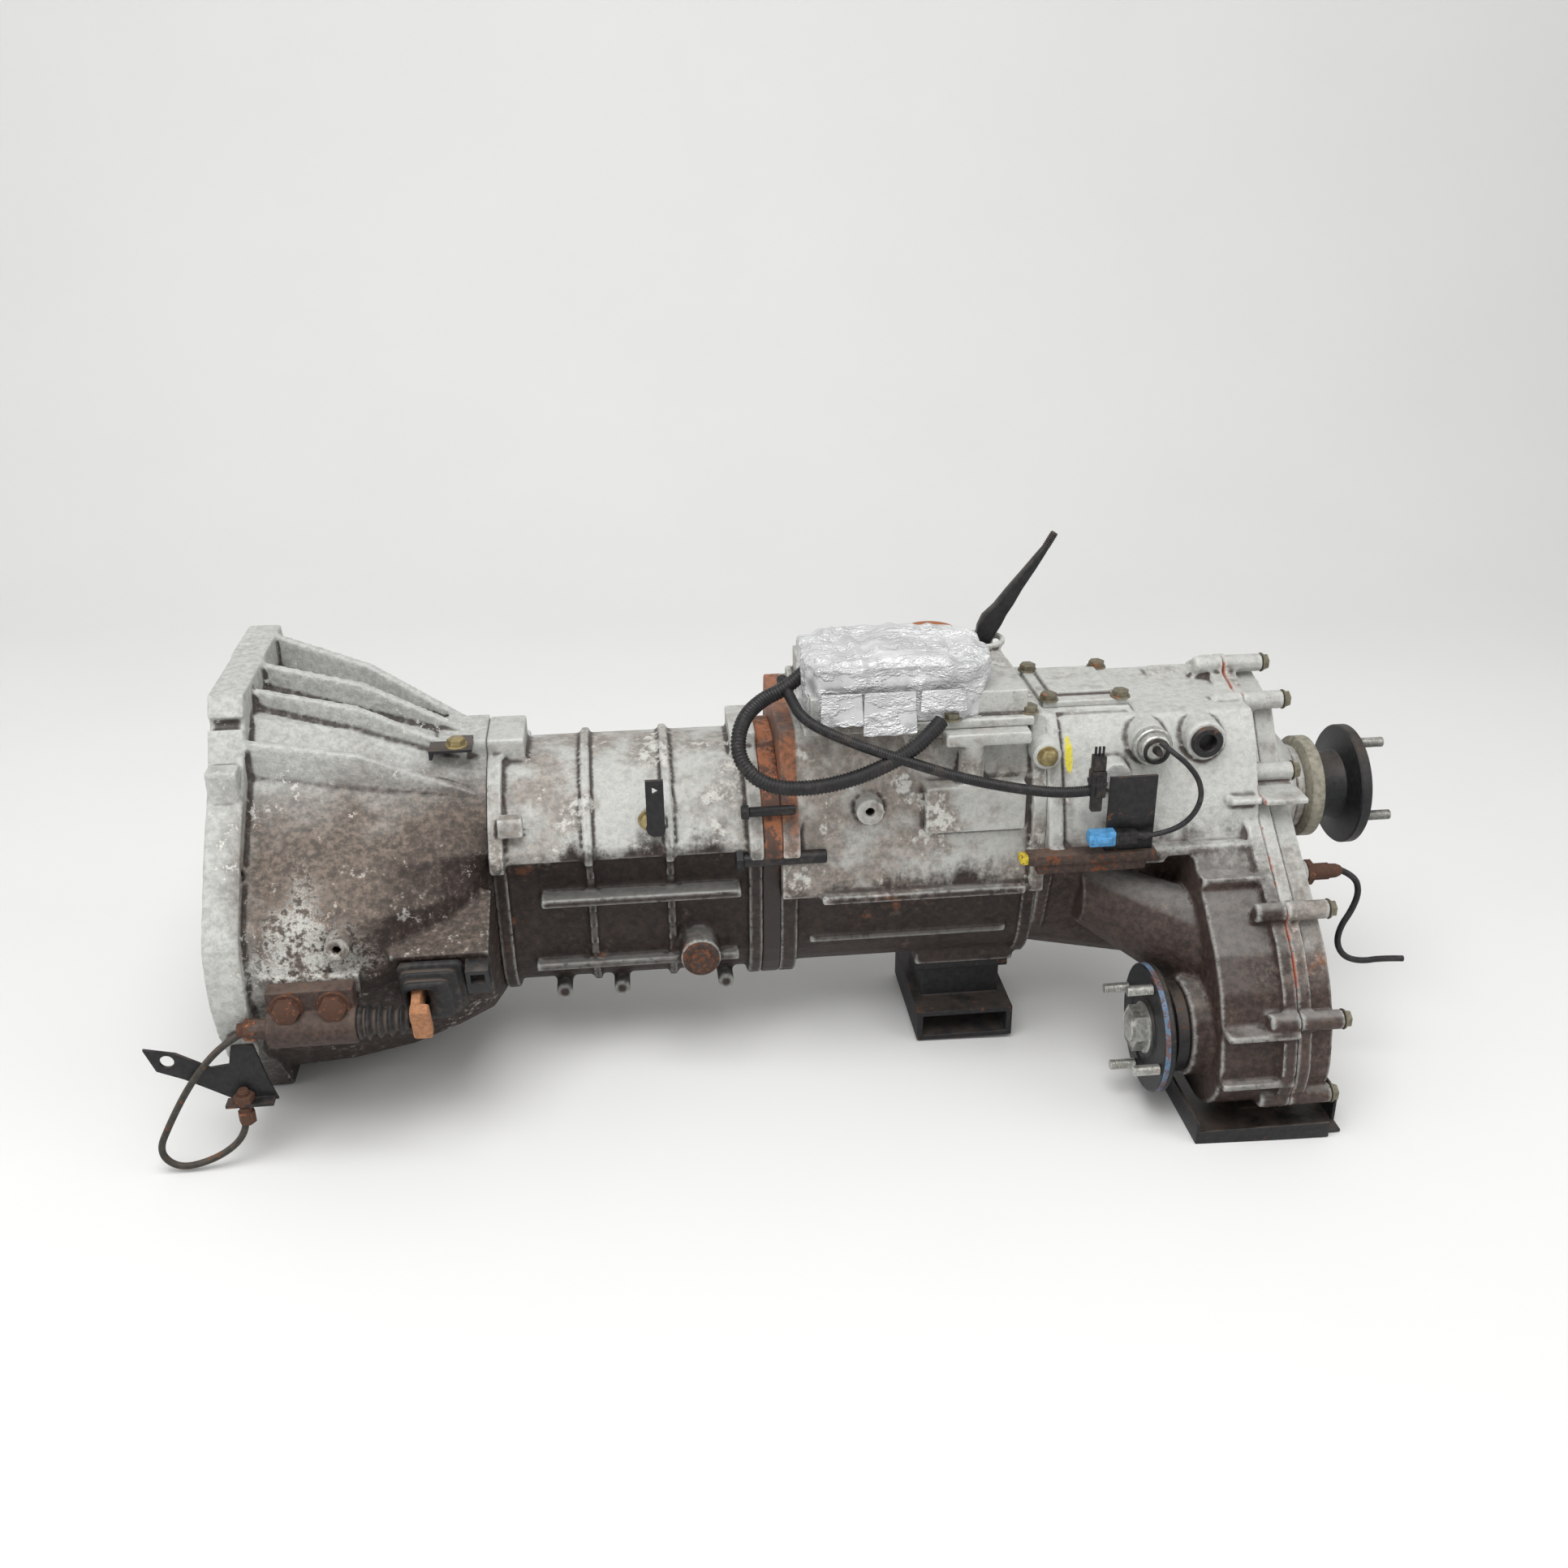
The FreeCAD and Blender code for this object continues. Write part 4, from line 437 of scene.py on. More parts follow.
def bell_finish(name):
    """The bell: pale ribs and flange, a brown middle, white corrosion low on the left, black oil by the boot."""
    c, f = colours(), Finish(name)
    broad = f.noise(7, 5, 0.6)
    patch = f.noise(24, 7, 0.7)
    speck = f.noise(160, 6, 0.74)
    grain = f.noise(950, 3, 0.6)
    wander = (broad - 0.5) * 0.16 + (patch - 0.5) * 0.07
    clean = f.shades(speck.between(0.36, 0.64), c.aluminium, 0.78, 1.12)
    brown = f.shades(speck.between(0.38, 0.64), c.film, 0.35, 1.1)
    middle = (0.115 - f.z + wander).between(0.0, 0.08) * (f.x + wander * 0.5).between(0.01, 0.05)
    colour = f.mix(middle * 0.92, clean, brown)
    colour = f.mix(f.both(patch, speck, 0.6, 0.54, 0.62) * 0.6, colour, brown)
    low_left = abs((f.x - 0.075) * 9) + abs((f.z + 0.035) * 9)
    near = (0 - f.y).between(0.0, 0.08)
    broken = f.both(patch, speck, 0.55, 0.45, 0.53)
    cloud = broken * (1 - (low_left + (patch - 0.5) * 2.6 + (speck - 0.5) * 1.6).between(0.45, 0.75)) * near
    flecks = f.both(patch, speck, 0.55, 0.575, 0.6)
    powder = (cloud * 0.8).most(flecks * (0.4 + 0.6 * (1 - middle * 0.6)))
    colour = f.mix(powder, colour, f.shades(grain.between(0.4, 0.6), c.oxide, 0.78, 1.05))
    oily = ((f.x - 0.125) * 10 + (0.03 - f.z) * 9 + wander * 6).between(0.0, 0.6)
    oily = oily * (f.z + wander * 0.4).between(0.12, 0.04)
    oily = oily.most((-0.062 - f.z + wander * 0.9).between(0.0, 0.06) * (f.x + wander * 0.3).between(0.0, 0.05))
    # Faces that point up keep less of the black oil: a painted highlight on their tops.
    oily = oily * (1 - f.up.between(0.3, 0.8) * 0.55)
    # The hollows between the ribs are darkened as well: painted shade.
    hollow_shade = f.hollow(0.004, 0.028)
    dirt_and_shade = (oily * 0.96).most(hollow_shade * 0.9) * (1 - powder * 0.75)
    # This dark colour paints the oil and also the painted shade in the hollows.
    tar = f.shades(speck.between(0.36, 0.66), c.grime_and_shade, 0.5, 1.7)
    tar = f.mix(f.both(speck, grain, 0.6, 0.56, 0.62) * 0.35, tar, linear(c.oxide, 0.5))
    colour = f.mix(dirt_and_shade, colour, tar)
    worn = f.ridge(0.02, 0.08) * (1 - dirt_and_shade * 0.5)
    colour = f.mix(worn * 0.55, colour, linear(c.aluminium, 1.2))
    rough = 0.58 + powder * 0.22 - dirt_and_shade * 0.12 + (speck - 0.5) * 0.2
    return f.surface(colour, rough, metal=0.18 * (1 - dirt_and_shade) * (1 - powder), specular=0.28,
                     bumps=((speck, 0.0018), (grain, 0.0005)))


FINISHES = {
    "bell aluminium": bell_finish,
    "case aluminium": lambda name: cast_finish(name, 0.034, 0.008, film=0.36, oxide=0.55, rust=0.35, soot=0.4),
    "adapter aluminium": lambda name: cast_finish(name, -0.012, -0.04, film=0.55, oxide=0.55, rust=0.3, soot=0.6,
                                                  marks=band_rust),
    "control aluminium": lambda name: cast_finish(name, -0.1, -0.2, film=0.4, oxide=0.5, soot=0.5),
    "transfer aluminium": lambda name: cast_finish(name, 0.012, -0.022, film=0.3, oxide=0.35, shade=1.05, soot=0.35,
                                                   tar=1.7, marks=transfer_marks),
    "cover aluminium": lambda name: cast_finish(name, -0.01, -0.09, film=0.45, oxide=0.35, rust=0.3, soot=0.45,
                                                tar=2.2, marks=sealant),
    "slave iron": lambda name: painted_finish(name, (0.25, 0.2, 0.18), 0.4, 0.62, 0.4),
    "plate iron": plate_finish,
    "bright steel": lambda name: steel_finish(name, colours().steel, 0.05),
    "gear steel": lambda name: steel_finish(name, (0.5, 0.49, 0.46), 0.0, dark=0.3, rough=0.28),
    "stud steel": lambda name: steel_finish(name, (0.72, 0.72, 0.7), 0.18, rough=0.3, metal=0.7),
    "plated steel": lambda name: steel_finish(name, (0.47, 0.45, 0.38), 0.22, rough=0.45, metal=0.5),
    "brass steel": lambda name: steel_finish(name, (0.62, 0.56, 0.4), 0.15, rough=0.4, metal=0.6),
    "bolt rust": lambda name: rust_finish(name, 0.45),
    "fresh rust": lambda name: rust_finish(name, 0.95),
    "old rust": lambda name: rust_finish(name, 0.15),
    "pipe steel": lambda name: painted_finish(name, (0.2, 0.19, 0.17), 0.45, 0.5, 0.4),
    "black paint": lambda name: painted_finish(name, colours().paint, 0.05, 0.4, 0.3),
    "flange paint": lambda name: painted_finish(name, (0.12, 0.125, 0.13), 0.1, 0.45, 0.2),
    "rim blue": lambda name: painted_finish(name, (0.36, 0.46, 0.56), 0.3, 0.5, 0.2),
    "fork rust": lambda name: steel_finish(name, (0.68, 0.48, 0.34), 0.3, metal=0.0, rough=0.75),
    "yellow paint": lambda name: painted_finish(name, (0.74, 0.66, 0.2), 0.3, 0.6, 0.3),
    "rubber": lambda name: rubber_finish(name, colours().rubber),
    "black plastic": lambda name: rubber_finish(name, colours().plastic, 0.42, 0.3, 700, 0.00006),
    "blue plastic": lambda name: rubber_finish(name, colours().blue, 0.4, 0.3, 700, 0.00005),
    "lead rubber": lambda name: rubber_finish(name, (0.13, 0.13, 0.14), 0.5, 0.3, 1200, 0.00005),
    "dust ring": lambda name: rubber_finish(name, colours().ring, 0.66, 0.5, 900, 0.0001),
    "silver tape": tape_finish,
    "mount": lambda name: painted_finish(name, colours().paint, 0.12, 0.6, 0.2),
}


# Forms
SMOOTHER = ("SUBSURF", {"levels": 1, "render_levels": 1})


def mm(*values):
    """A point given in millimetres."""
    return Vector(values) / 1000


def fork_point(x, reach, across=0.0):
    """A point in the release fork's own frame, in millimetres: along it and across it."""
    along = Vector((0, math.cos(FORK_ANGLE), math.sin(FORK_ANGLE)))
    side = Vector((0, -math.sin(FORK_ANGLE), math.cos(FORK_ANGLE)))
    return (Vector((x, 0, 0)) + along * reach + side * across) / 1000


def ringed(form, rings, closed=False):
    """Joins rings of points by faces. A ring of one point is a pole, and end rings are capped."""
    made = [[form.verts.new(point) for point in ring] for ring in rings]
    pairs = list(zip(made, made[1:]))
    if closed:
        pairs.append((made[-1], made[0]))
    for low, high in pairs:
        count = max(len(low), len(high))
        for number in range(count):
            after = (number + 1) % count
            corners = (low[number % len(low)], low[after % len(low)],
                       high[after % len(high)], high[number % len(high)])
            unique = list(dict.fromkeys(corners))
            if len(unique) > 2:
                form.faces.new(unique)
    if not closed:
        for end in (made[0], made[-1]):
            if len(end) > 2:
                form.faces.new(end)
    return form


def turned(form, profile, at, out, count=48, closed=False, spin=0.0):
    """A turned form: profile holds (distance along out, radius) in millimetres."""
    out = out.normalized()
    side = out.orthogonal().normalized()
    other = out.cross(side)
    rings = []
    for along, radius in profile:
        centre = at + out * along / 1000
        if radius < 0.001:
            rings.append([centre])
            continue
        turns = [spin + 2 * math.pi * number / count for number in range(count)]
        rings.append([centre + (side * math.cos(t) + other * math.sin(t)) * radius / 1000 for t in turns])
    return ringed(form, rings, closed)


def ball(radius, steps):
    """The profile of a ball, from its lower pole to its upper."""
    turns = [math.pi * step / steps for step in range(steps + 1)]
    return [(-radius * math.cos(turn), radius * math.sin(turn)) for turn in turns]


def rounded_outline(half_wide, half_high, corner, steps=5):
    """Points round a rectangle with round corners, as (across, up) pairs."""
    points = []
    for quarter, (right, top) in enumerate(((1, 1), (-1, 1), (-1, -1), (1, -1))):
        for step in range(steps + 1):
            turn = math.pi / 2 * (quarter + step / steps)
            points.append((right * (half_wide - corner) + corner * math.cos(turn),
                           top * (half_high - corner) + corner * math.sin(turn)))
    return points


def block(form, low, high, soft=1.5):
    """A box between two corners in millimetres, with its edges rounded."""
    centre = (Vector(low) + Vector(high)) / 2
    half = (Vector(high) - Vector(low)) / 2
    soft = min(soft, 0.45 * min(half) * 2)
    rings = []
    for inset, up in ((soft, -half.z), (soft * 0.3, soft * 0.3 - half.z), (0, soft - half.z),
                      (0, half.z - soft), (soft * 0.3, half.z - soft * 0.3), (soft, half.z)):
        outline = rounded_outline(half.x - inset, half.y - inset, max(soft - inset * 0.6, 0.2), 3)
        rings.append([(centre + Vector((a, b, up))) / 1000 for a, b in outline])
    return ringed(form, rings)


def threaded(form, start, end, radius, at, out, pitch=1.5, count=20):
    """A threaded pin: ridges along a rod, in millimetres."""
    profile, along = [(start, 0), (start, radius - 0.6)], start
    while along < end - pitch:
        profile += [(along + pitch * 0.45, radius), (along + pitch * 0.95, radius - 0.75)]
        along += pitch
    profile += [(end - 0.8, radius - 0.5), (end, radius - 1.2), (end, 0)]
    return turned(form, profile, at, out, count)


def hexagon(form, start, end, radius, at, out, spin=0.3):
    """A hexagon head with its corners chamfered."""
    return turned(form, [(start, 0), (start, radius), (end - 1, radius), (end, radius - 1.4), (end, 0)],
                  at, out, 6, spin=spin)


def welded(node):
    """A CAD node's mesh as one closed form, with its flats whole."""
    form = bmesh.new()
    form.from_mesh(NODES[node].data)
    bmesh.ops.remove_doubles(form, verts=form.verts, dist=1e-5)
    bmesh.ops.dissolve_limit(form, angle_limit=math.radians(0.8), verts=form.verts, edges=form.edges)
    return form


def linked(name, data):
    """A new object of the scene."""
    thing = bpy.data.objects.new(name, data)
    bpy.context.scene.collection.objects.link(thing)
    return thing


def meshed(name, form):
    """A form as a mesh; the form itself goes."""
    mesh = bpy.data.meshes.new(name)
    form.to_mesh(mesh)
    form.free()
    return mesh


def seated(thing, body, stands_for):
    """The object, riding on its body, and in place of its nodes."""
    if body:
        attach(thing, body)
    if stands_for:
        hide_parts(*stands_for)
    return thing


def piece(name, form, material, body="housings", stands_for=(), crease=38):
    """A finished object from a form or a mesh, which rides on its body."""
    mesh = form
    if isinstance(form, bmesh.types.BMesh):
        bmesh.ops.recalc_face_normals(form, faces=form.faces)
        mesh = meshed(name, form)
    mesh.name = name
    mesh.materials.clear()
    mesh.materials.append(finish(material))
    mesh.shade_smooth()
    if crease:
        mesh.set_sharp_from_angle(angle=math.radians(crease))
    return seated(linked(name, mesh), body, stands_for)


def evaluated(thing):
    """The mesh that an object's modifiers make; the object itself goes."""
    bpy.context.view_layer.update()
    graph = bpy.context.evaluated_depsgraph_get()
    mesh = bpy.data.meshes.new_from_object(thing.evaluated_get(graph))
    bpy.data.objects.remove(thing)
    return mesh


def shaped(form, modifiers):
    """The mesh of a form after its modifiers, given as (kind, settings)."""
    bmesh.ops.recalc_face_normals(form, faces=form.faces)
    thing = linked("shape", meshed("shape", form))
    for kind, settings in modifiers:
        modifier = thing.modifiers.new(kind.title(), kind)
        for key, value in settings.items():
            setattr(modifier, key, value)
    return evaluated(thing)


def bevelled(form, width):
    """Sharp pressed or machined edges, broken by a small chamfer."""
    return shaped(form, [("BEVEL", {"width": width, "segments": 2, "limit_method": "ANGLE",
                                    "angle_limit": math.radians(35), "use_clamp_overlap": True})])


def cast(form, grain, keep):
    """A casting: every form in it grown together, with soft edges and filled corners."""
    return shaped(form, [
        ("REMESH", {"mode": "VOXEL", "voxel_size": grain}),
        ("SMOOTH", {"factor": 0.5, "iterations": sizes().soften}),
        ("DECIMATE", {"ratio": keep}),
    ])


def route_curve(name, points, radius, material, body, stands_for=()):
    """A round lead or pipe on one smooth line through its route."""
    curve = bpy.data.curves.new(name, "CURVE")
    curve.dimensions = "3D"
    spline = curve.splines.new("NURBS")
    spline.points.add(len(points) - 1)
    for point, place in zip(spline.points, points):
        point.co = (*place, 1.0)
    spline.order_u = 3
    spline.use_endpoint_u = True
    spline.resolution_u = 12
    curve.bevel_depth = radius
    curve.bevel_resolution = 6
    curve.use_fill_caps = True
    if material:
        curve.materials.append(finish(material))
    return seated(linked(name, curve), body, stands_for)


# Node trees for what repeats
def new_tree(name, inputs):
    """An empty tree with a geometry input and output and the named numbers; gives each input's identifier."""
    tree = bpy.data.node_groups.new(name, "GeometryNodeTree")
    tree.interface.new_socket("Geometry", in_out="INPUT", socket_type="NodeSocketGeometry")
    known = {}
    for label, kind in inputs:
        socket = tree.interface.new_socket(label, in_out="INPUT", socket_type="NodeSocket" + kind)
        known[label] = socket.identifier
    tree.interface.new_socket("Geometry", in_out="OUTPUT", socket_type="NodeSocketGeometry")
    graph = Graph(tree)
    source = graph.node("NodeGroupInput")
    given = {"Geometry": source}
    for number, (label, _) in enumerate(inputs):
        given[label] = Term(graph, source.socket.node.outputs[number + 1])
    return graph, given, known


def delivered(graph, geometry, given):
    """The tree, with what it made turned into one mesh in its material."""
    whole = graph.node("GeometryNodeRealizeInstances", values={"Geometry": geometry})
    dressed = graph.node("GeometryNodeSetMaterial", values={"Geometry": whole, "Material": given["Material"]})
    graph.node("NodeGroupOutput", values={0: dressed})
    return graph.tree


def bolt_tree():
    """Flanged hexagon bolts on points, each along its point's own direction."""
    graph, given, known = new_tree("Flanged bolts", (
        ("Head radius", "Float"), ("Head height", "Float"), ("Flange radius", "Float"),
        ("Flange height", "Float"), ("Material", "Material")))

    def drum(sides, top, low, high, lift):
        made = graph.node("GeometryNodeMeshCone", values={
            "Vertices": sides, "Radius Top": top, "Radius Bottom": low, "Depth": high})
        move = graph.node("ShaderNodeCombineXYZ", values={"Z": lift})
        return graph.node("GeometryNodeTransform", values={"Geometry": made, "Translation": move})

    head, high = given["Head radius"], given["Head height"]
    flange, thick = given["Flange radius"], given["Flange height"]
    parts = [
        drum(32, flange * 0.94, flange, thick, 0.0),
        drum(6, head, head, high * 0.84, thick),
        drum(6, head * 0.84, head, high * 0.16, thick + high * 0.84),
    ]
    join = graph.node("GeometryNodeJoinGeometry")
    for part in parts:
        graph.tree.links.new(part.socket, join.socket.node.inputs[0])
    way = graph.node("GeometryNodeInputNamedAttribute", {"data_type": "FLOAT_VECTOR"}, {"Name": "out"})
    turn = graph.node("FunctionNodeAlignRotationToVector", {"axis": "Z"}, {"Vector": way})
    placed = graph.node("GeometryNodeInstanceOnPoints", values={
        "Points": given["Geometry"], "Instance": join, "Rotation": turn})
    return delivered(graph, placed, given), known


def conduit_tree():
    """A ribbed hose along a curve: its radius rises and falls with the length along it."""
    graph, given, known = new_tree("Split conduit", (
        ("Radius", "Float"), ("Rib height", "Float"), ("Pitch", "Float"), ("Material", "Material")))
    line = graph.node("GeometryNodeResampleCurve", {"mode": "LENGTH"}, {
        "Curve": given["Geometry"], "Length": given["Pitch"] * 0.25})
    run = graph.node("GeometryNodeSplineParameter", out="Length")
    rise = (run / given["Pitch"] * (2 * math.pi)).sine().between(-0.4, 0.4)
    radius = given["Radius"] - given["Rib height"] * (1 - rise)
    ring = graph.node("GeometryNodeCurvePrimitiveCircle", values={"Resolution": 20, "Radius": 1.0})
    hose = graph.node("GeometryNodeCurveToMesh", values={
        "Curve": line, "Profile Curve": ring, "Scale": radius, "Fill Caps": True})
    return delivered(graph, hose, given), known


def grown(thing, tree, known, values):
    """The mesh that a tree makes on an object; its inputs are set by identifier."""
    modifier = thing.modifiers.new("Repeat", "NODES")
    modifier.node_group = tree
    for label, value in values.items():
        modifier[known[label]] = value
    return evaluated(thing)


def bolts(name, seats, material, scale=1.0, stands_for=()):
    """One piece of like bolts; seats holds (place in millimetres, direction)."""
    s = sizes()
    mesh = bpy.data.meshes.new(name)
    mesh.from_pydata([mm(*place) for place, _ in seats], [], [])
    ways = mesh.attributes.new("out", "FLOAT_VECTOR", "POINT")
    ways.data.foreach_set("vector", [value for _, way in seats for value in way])
    base = linked(name + "_seats", mesh)
    tree, known = bolt_tree()
    made = grown(base, tree, known, {
        "Head radius": s.head * scale, "Head height": s.head_high * scale, "Flange radius": s.washer * scale,
        "Flange height": s.washer_high * scale, "Material": finish(material)})
    return piece(name, made, material, stands_for=stands_for)


# Operators
class Undoable:
    """What every operator of the panel shares."""
    bl_options = {"REGISTER", "UNDO"}


class GEARBOX_OT_stage(Undoable, bpy.types.Operator):
    """Camera, floor, backdrop and soft lamps"""
    bl_idname = "gearbox.stage"
    bl_label = "Camera, floor and lamps"

    def execute(self, context):
        scene = context.scene
        scene.view_settings.view_transform = "Standard"
        camera_data = bpy.data.cameras.new("camera")
        camera_data.lens = LENS
        camera_data.sensor_width = 36
        camera_data.clip_end = 50
        camera = linked("camera", camera_data)
        turn = Matrix((CAMERA_RIGHT, CAMERA_UP, CAMERA_RIGHT.cross(CAMERA_UP))).transposed().to_4x4()
        camera.matrix_world = Matrix.Translation(CAMERA_PLACE) @ turn
        scene.camera = camera
        self.floor()
        self.lamps()
        self.sky(scene)
        return {"FINISHED"}

    def floor(self):
        """A pale floor under the guard and the bell, with a backdrop that rises behind."""
        slope = Vector((1, 0, -0.03317)).normalized()
        level = slope.cross(Vector((0, 1, 0))).normalized()
        start = Vector((0.5, 0, -0.2251))
        outline = [(-3.2, 0.0), (1.25, 0.0)]
        turns = [math.pi / 2 * step / 10 for step in range(1, 11)]
        outline += [(1.25 + 0.9 * math.sin(turn), 0.9 - 0.9 * math.cos(turn)) for turn in turns]
        outline.append((2.15, 3.2))
        form = bmesh.new()
        rows = [[form.verts.new(start + slope * across + Vector((0, 1, 0)) * back + level * up)
                 for back, up in outline] for across in (-4.0, 4.0)]
        for number in range(len(outline) - 1):
            form.faces.new((rows[0][number], rows[1][number], rows[1][number + 1], rows[0][number + 1]))
        mesh = meshed("floor", form)
        mesh.shade_smooth()
        pale = Finish("pale floor")
        shade = pale.mix(pale.noise(3, 3, 0.5), (0.80, 0.80, 0.79, 1), (0.84, 0.84, 0.83, 1))
        mesh.materials.append(pale.surface(shade, 0.75))
        linked("floor", mesh)

    def lamps(self):
        """A broad lamp above and before the object, and a weaker one at each side."""
        for name, place, size, watts in (
                ("lamp over", (0.2, -1.0, 2.3), 1.8, 52),
                ("lamp left", (-2.0, -1.4, 1.1), 1.8, 14),
                ("lamp right", (2.6, -1.2, 1.3), 1.8, 14)):
            data = bpy.data.lights.new(name, "AREA")
            data.energy = watts
            data.size = size
            lamp = linked(name, data)
            lamp.location = place
            lamp.rotation_euler = (Vector((0.5, 0, 0)) - Vector(place)).to_track_quat("-Z", "Y").to_euler()

    def sky(self, scene):
        """Even light, and a pale ground wherever the camera or a reflection looks past the floor."""
        world = bpy.data.worlds.new("studio")
        world.use_nodes = True
        graph = Graph(world.node_tree)
        world.node_tree.nodes.clear()
        path = graph.node("ShaderNodeLightPath", out="Is Camera Ray")
        rays = path.socket.node.outputs
        seen = path + Term(graph, rays["Is Glossy Ray"]) + Term(graph, rays["Is Transmission Ray"])
        strength = 0.5 + seen.between(0.0, 1.0) * 0.42
        ground = graph.node("ShaderNodeBackground", values={"Color": (0.93, 0.93, 0.925, 1), "Strength": strength})
        graph.node("ShaderNodeOutputWorld", values={"Surface": ground})
        scene.world = world


class GEARBOX_OT_leads(Undoable, bpy.types.Operator):
    """The free lead at the rear switch and the lead of the speed sensor"""
    bl_idname = "gearbox.leads"
    bl_label = "Leads"

    def execute(self, context):
        lead = route_curve("rear_switch_lead", REAR_LEAD, 0.003, "lead rubber", "housings", ("rear_lead",))
        form = bmesh.new()
        end = Vector(REAR_LEAD[-1])
        for number, (side, lift) in enumerate(((0.9, 0.5), (-0.8, 0.7), (0.1, -0.9))):
            turned(form, [(-9, 0), (-9, 0.9), (0.8 - number * 0.3, 0.8), (0.8 - number * 0.3, 0)],
                   end + mm(0, side, lift), Vector((1, side * 0.08, lift * 0.08)), 10)
        cores = piece("rear_lead_cores", form, "plated steel")
        route_curve("speed_sensor_lead", SENSOR_LEAD, 0.0025, "lead rubber", "housings", ("sensor_lead",))
        return {"FINISHED"}


class GEARBOX_OT_pipe(Undoable, bpy.types.Operator):
    """The rigid clutch pipe with its two unions"""
    bl_idname = "gearbox.pipe"
    bl_label = "Clutch pipe"

    def execute(self, context):
        route_curve("clutch_line", CLUTCH_PIPE, 0.003, "pipe steel", "housings", ("clutch_pipe",))
        form = hexagon(bmesh.new(), -3, 9, 7.4, mm(17, -211, -160), UP, 0.2)
        turned(form, [(8, 0), (8, 5.4), (13, 5.2), (13.6, 0)], mm(17, -211, -160), UP, 24)
        threaded(form, 12, 30, 5.0, mm(17, -211, -160), UP)
        hexagon(form, 0, 7, 9.0, mm(17, -211, -141.6), UP, 0.5)
        piece("pipe_unions", form, "old rust")
        return {"FINISHED"}


class GEARBOX_OT_loom(Undoable, bpy.types.Operator):
    """The split conduit, its branch and the black socket"""
    bl_idname = "gearbox.loom"
    bl_label = "Wiring"

    def execute(self, context):
        tree, known = conduit_tree()
        high, pitch = sizes().rib_high, sizes().rib_pitch
        for name, route, values, stands_for in (
                ("loom", LOOM, (0.007, high, pitch), ("wiring_harness",)),
                ("branch", BRANCH, (0.005, high * 0.5, pitch * 0.7), ())):
            line = route_curve(name + "_line", route, 0.0, None, None)
            run = grown(line, tree, known, {
                **dict(zip(("Radius", "Rib height", "Pitch"), values)), "Material": finish("black plastic")})
            piece(name + "_conduit", run, "black plastic", stands_for=stands_for, crease=60)
        form = block(bmesh.new(), (764, -134, 62), (778, -122, 88), 1.6)
        block(form, (765.2, -132.8, 88), (776.8, -123.2, 102), 1.0)
        block(form, (763.4, -134.6, 74), (778.6, -121.4, 78), 0.6)
        block(form, (766, -132, 48), (776, -124, 62.5), 1.4)
        block(form, (768, -135.6, 64), (774, -133.4, 84), 0.7)
        for x in (767.5, 771, 774.5):
            turned(form, [(0, 0), (0, 1.2), (9, 1.2), (9, 0)], mm(x, -128, 101), UP, 10)
        piece("branch_socket", form, "black plastic")
        return {"FINISHED"}


class GEARBOX_OT_castings(Undoable, bpy.types.Operator):
    """The cast housings and covers, grown from the solids with soft edges"""
    bl_idname = "gearbox.castings"
    bl_label = "Castings"

    def execute(self, context):
        plan = (
            ("clutch_housing", "bell_casting", "bell aluminium", 1.0, 0.46, "cast_aluminium"),
            ("gearbox_case", "case_casting", "case aluminium", 0.9, 0.62, "cast_aluminium"),
            ("centre_plate", "plate_casting", "plate iron", 0.75, 0.6, "cast_iron_plate"),
            ("adapter_housing", "adapter_casting", "adapter aluminium", 0.9, 0.62, "cast_aluminium"),
            ("control_housing", "control_casting", "control aluminium", 0.7, 0.6, "cast_aluminium"),
            ("transfer_front_case", "transfer_casting", "transfer aluminium", 1.0, 0.62, "cast_aluminium"),
            ("transfer_rear_cover", "cover_casting", "cover aluminium", 0.85, 0.62, "cast_aluminium"),
            ("transfer_cover_plate", "top_plate_casting", "transfer aluminium", 0.5, 0.6, "cast_aluminium"),
            ("front_bearing_retainer", "retainer_casting", "gear steel", 0.6, 0.6, "bright_steel"),
            ("slave_cylinder", "slave_casting", "slave iron", 0.45, 0.6, "rusty_steel"),
        )
        for node, name, material, grain, keep, slot in plan:
            mesh = cast(welded(node), sizes().grain * grain, keep)
            piece(name, mesh, material, stands_for=(node,), crease=0)
        return {"FINISHED"}


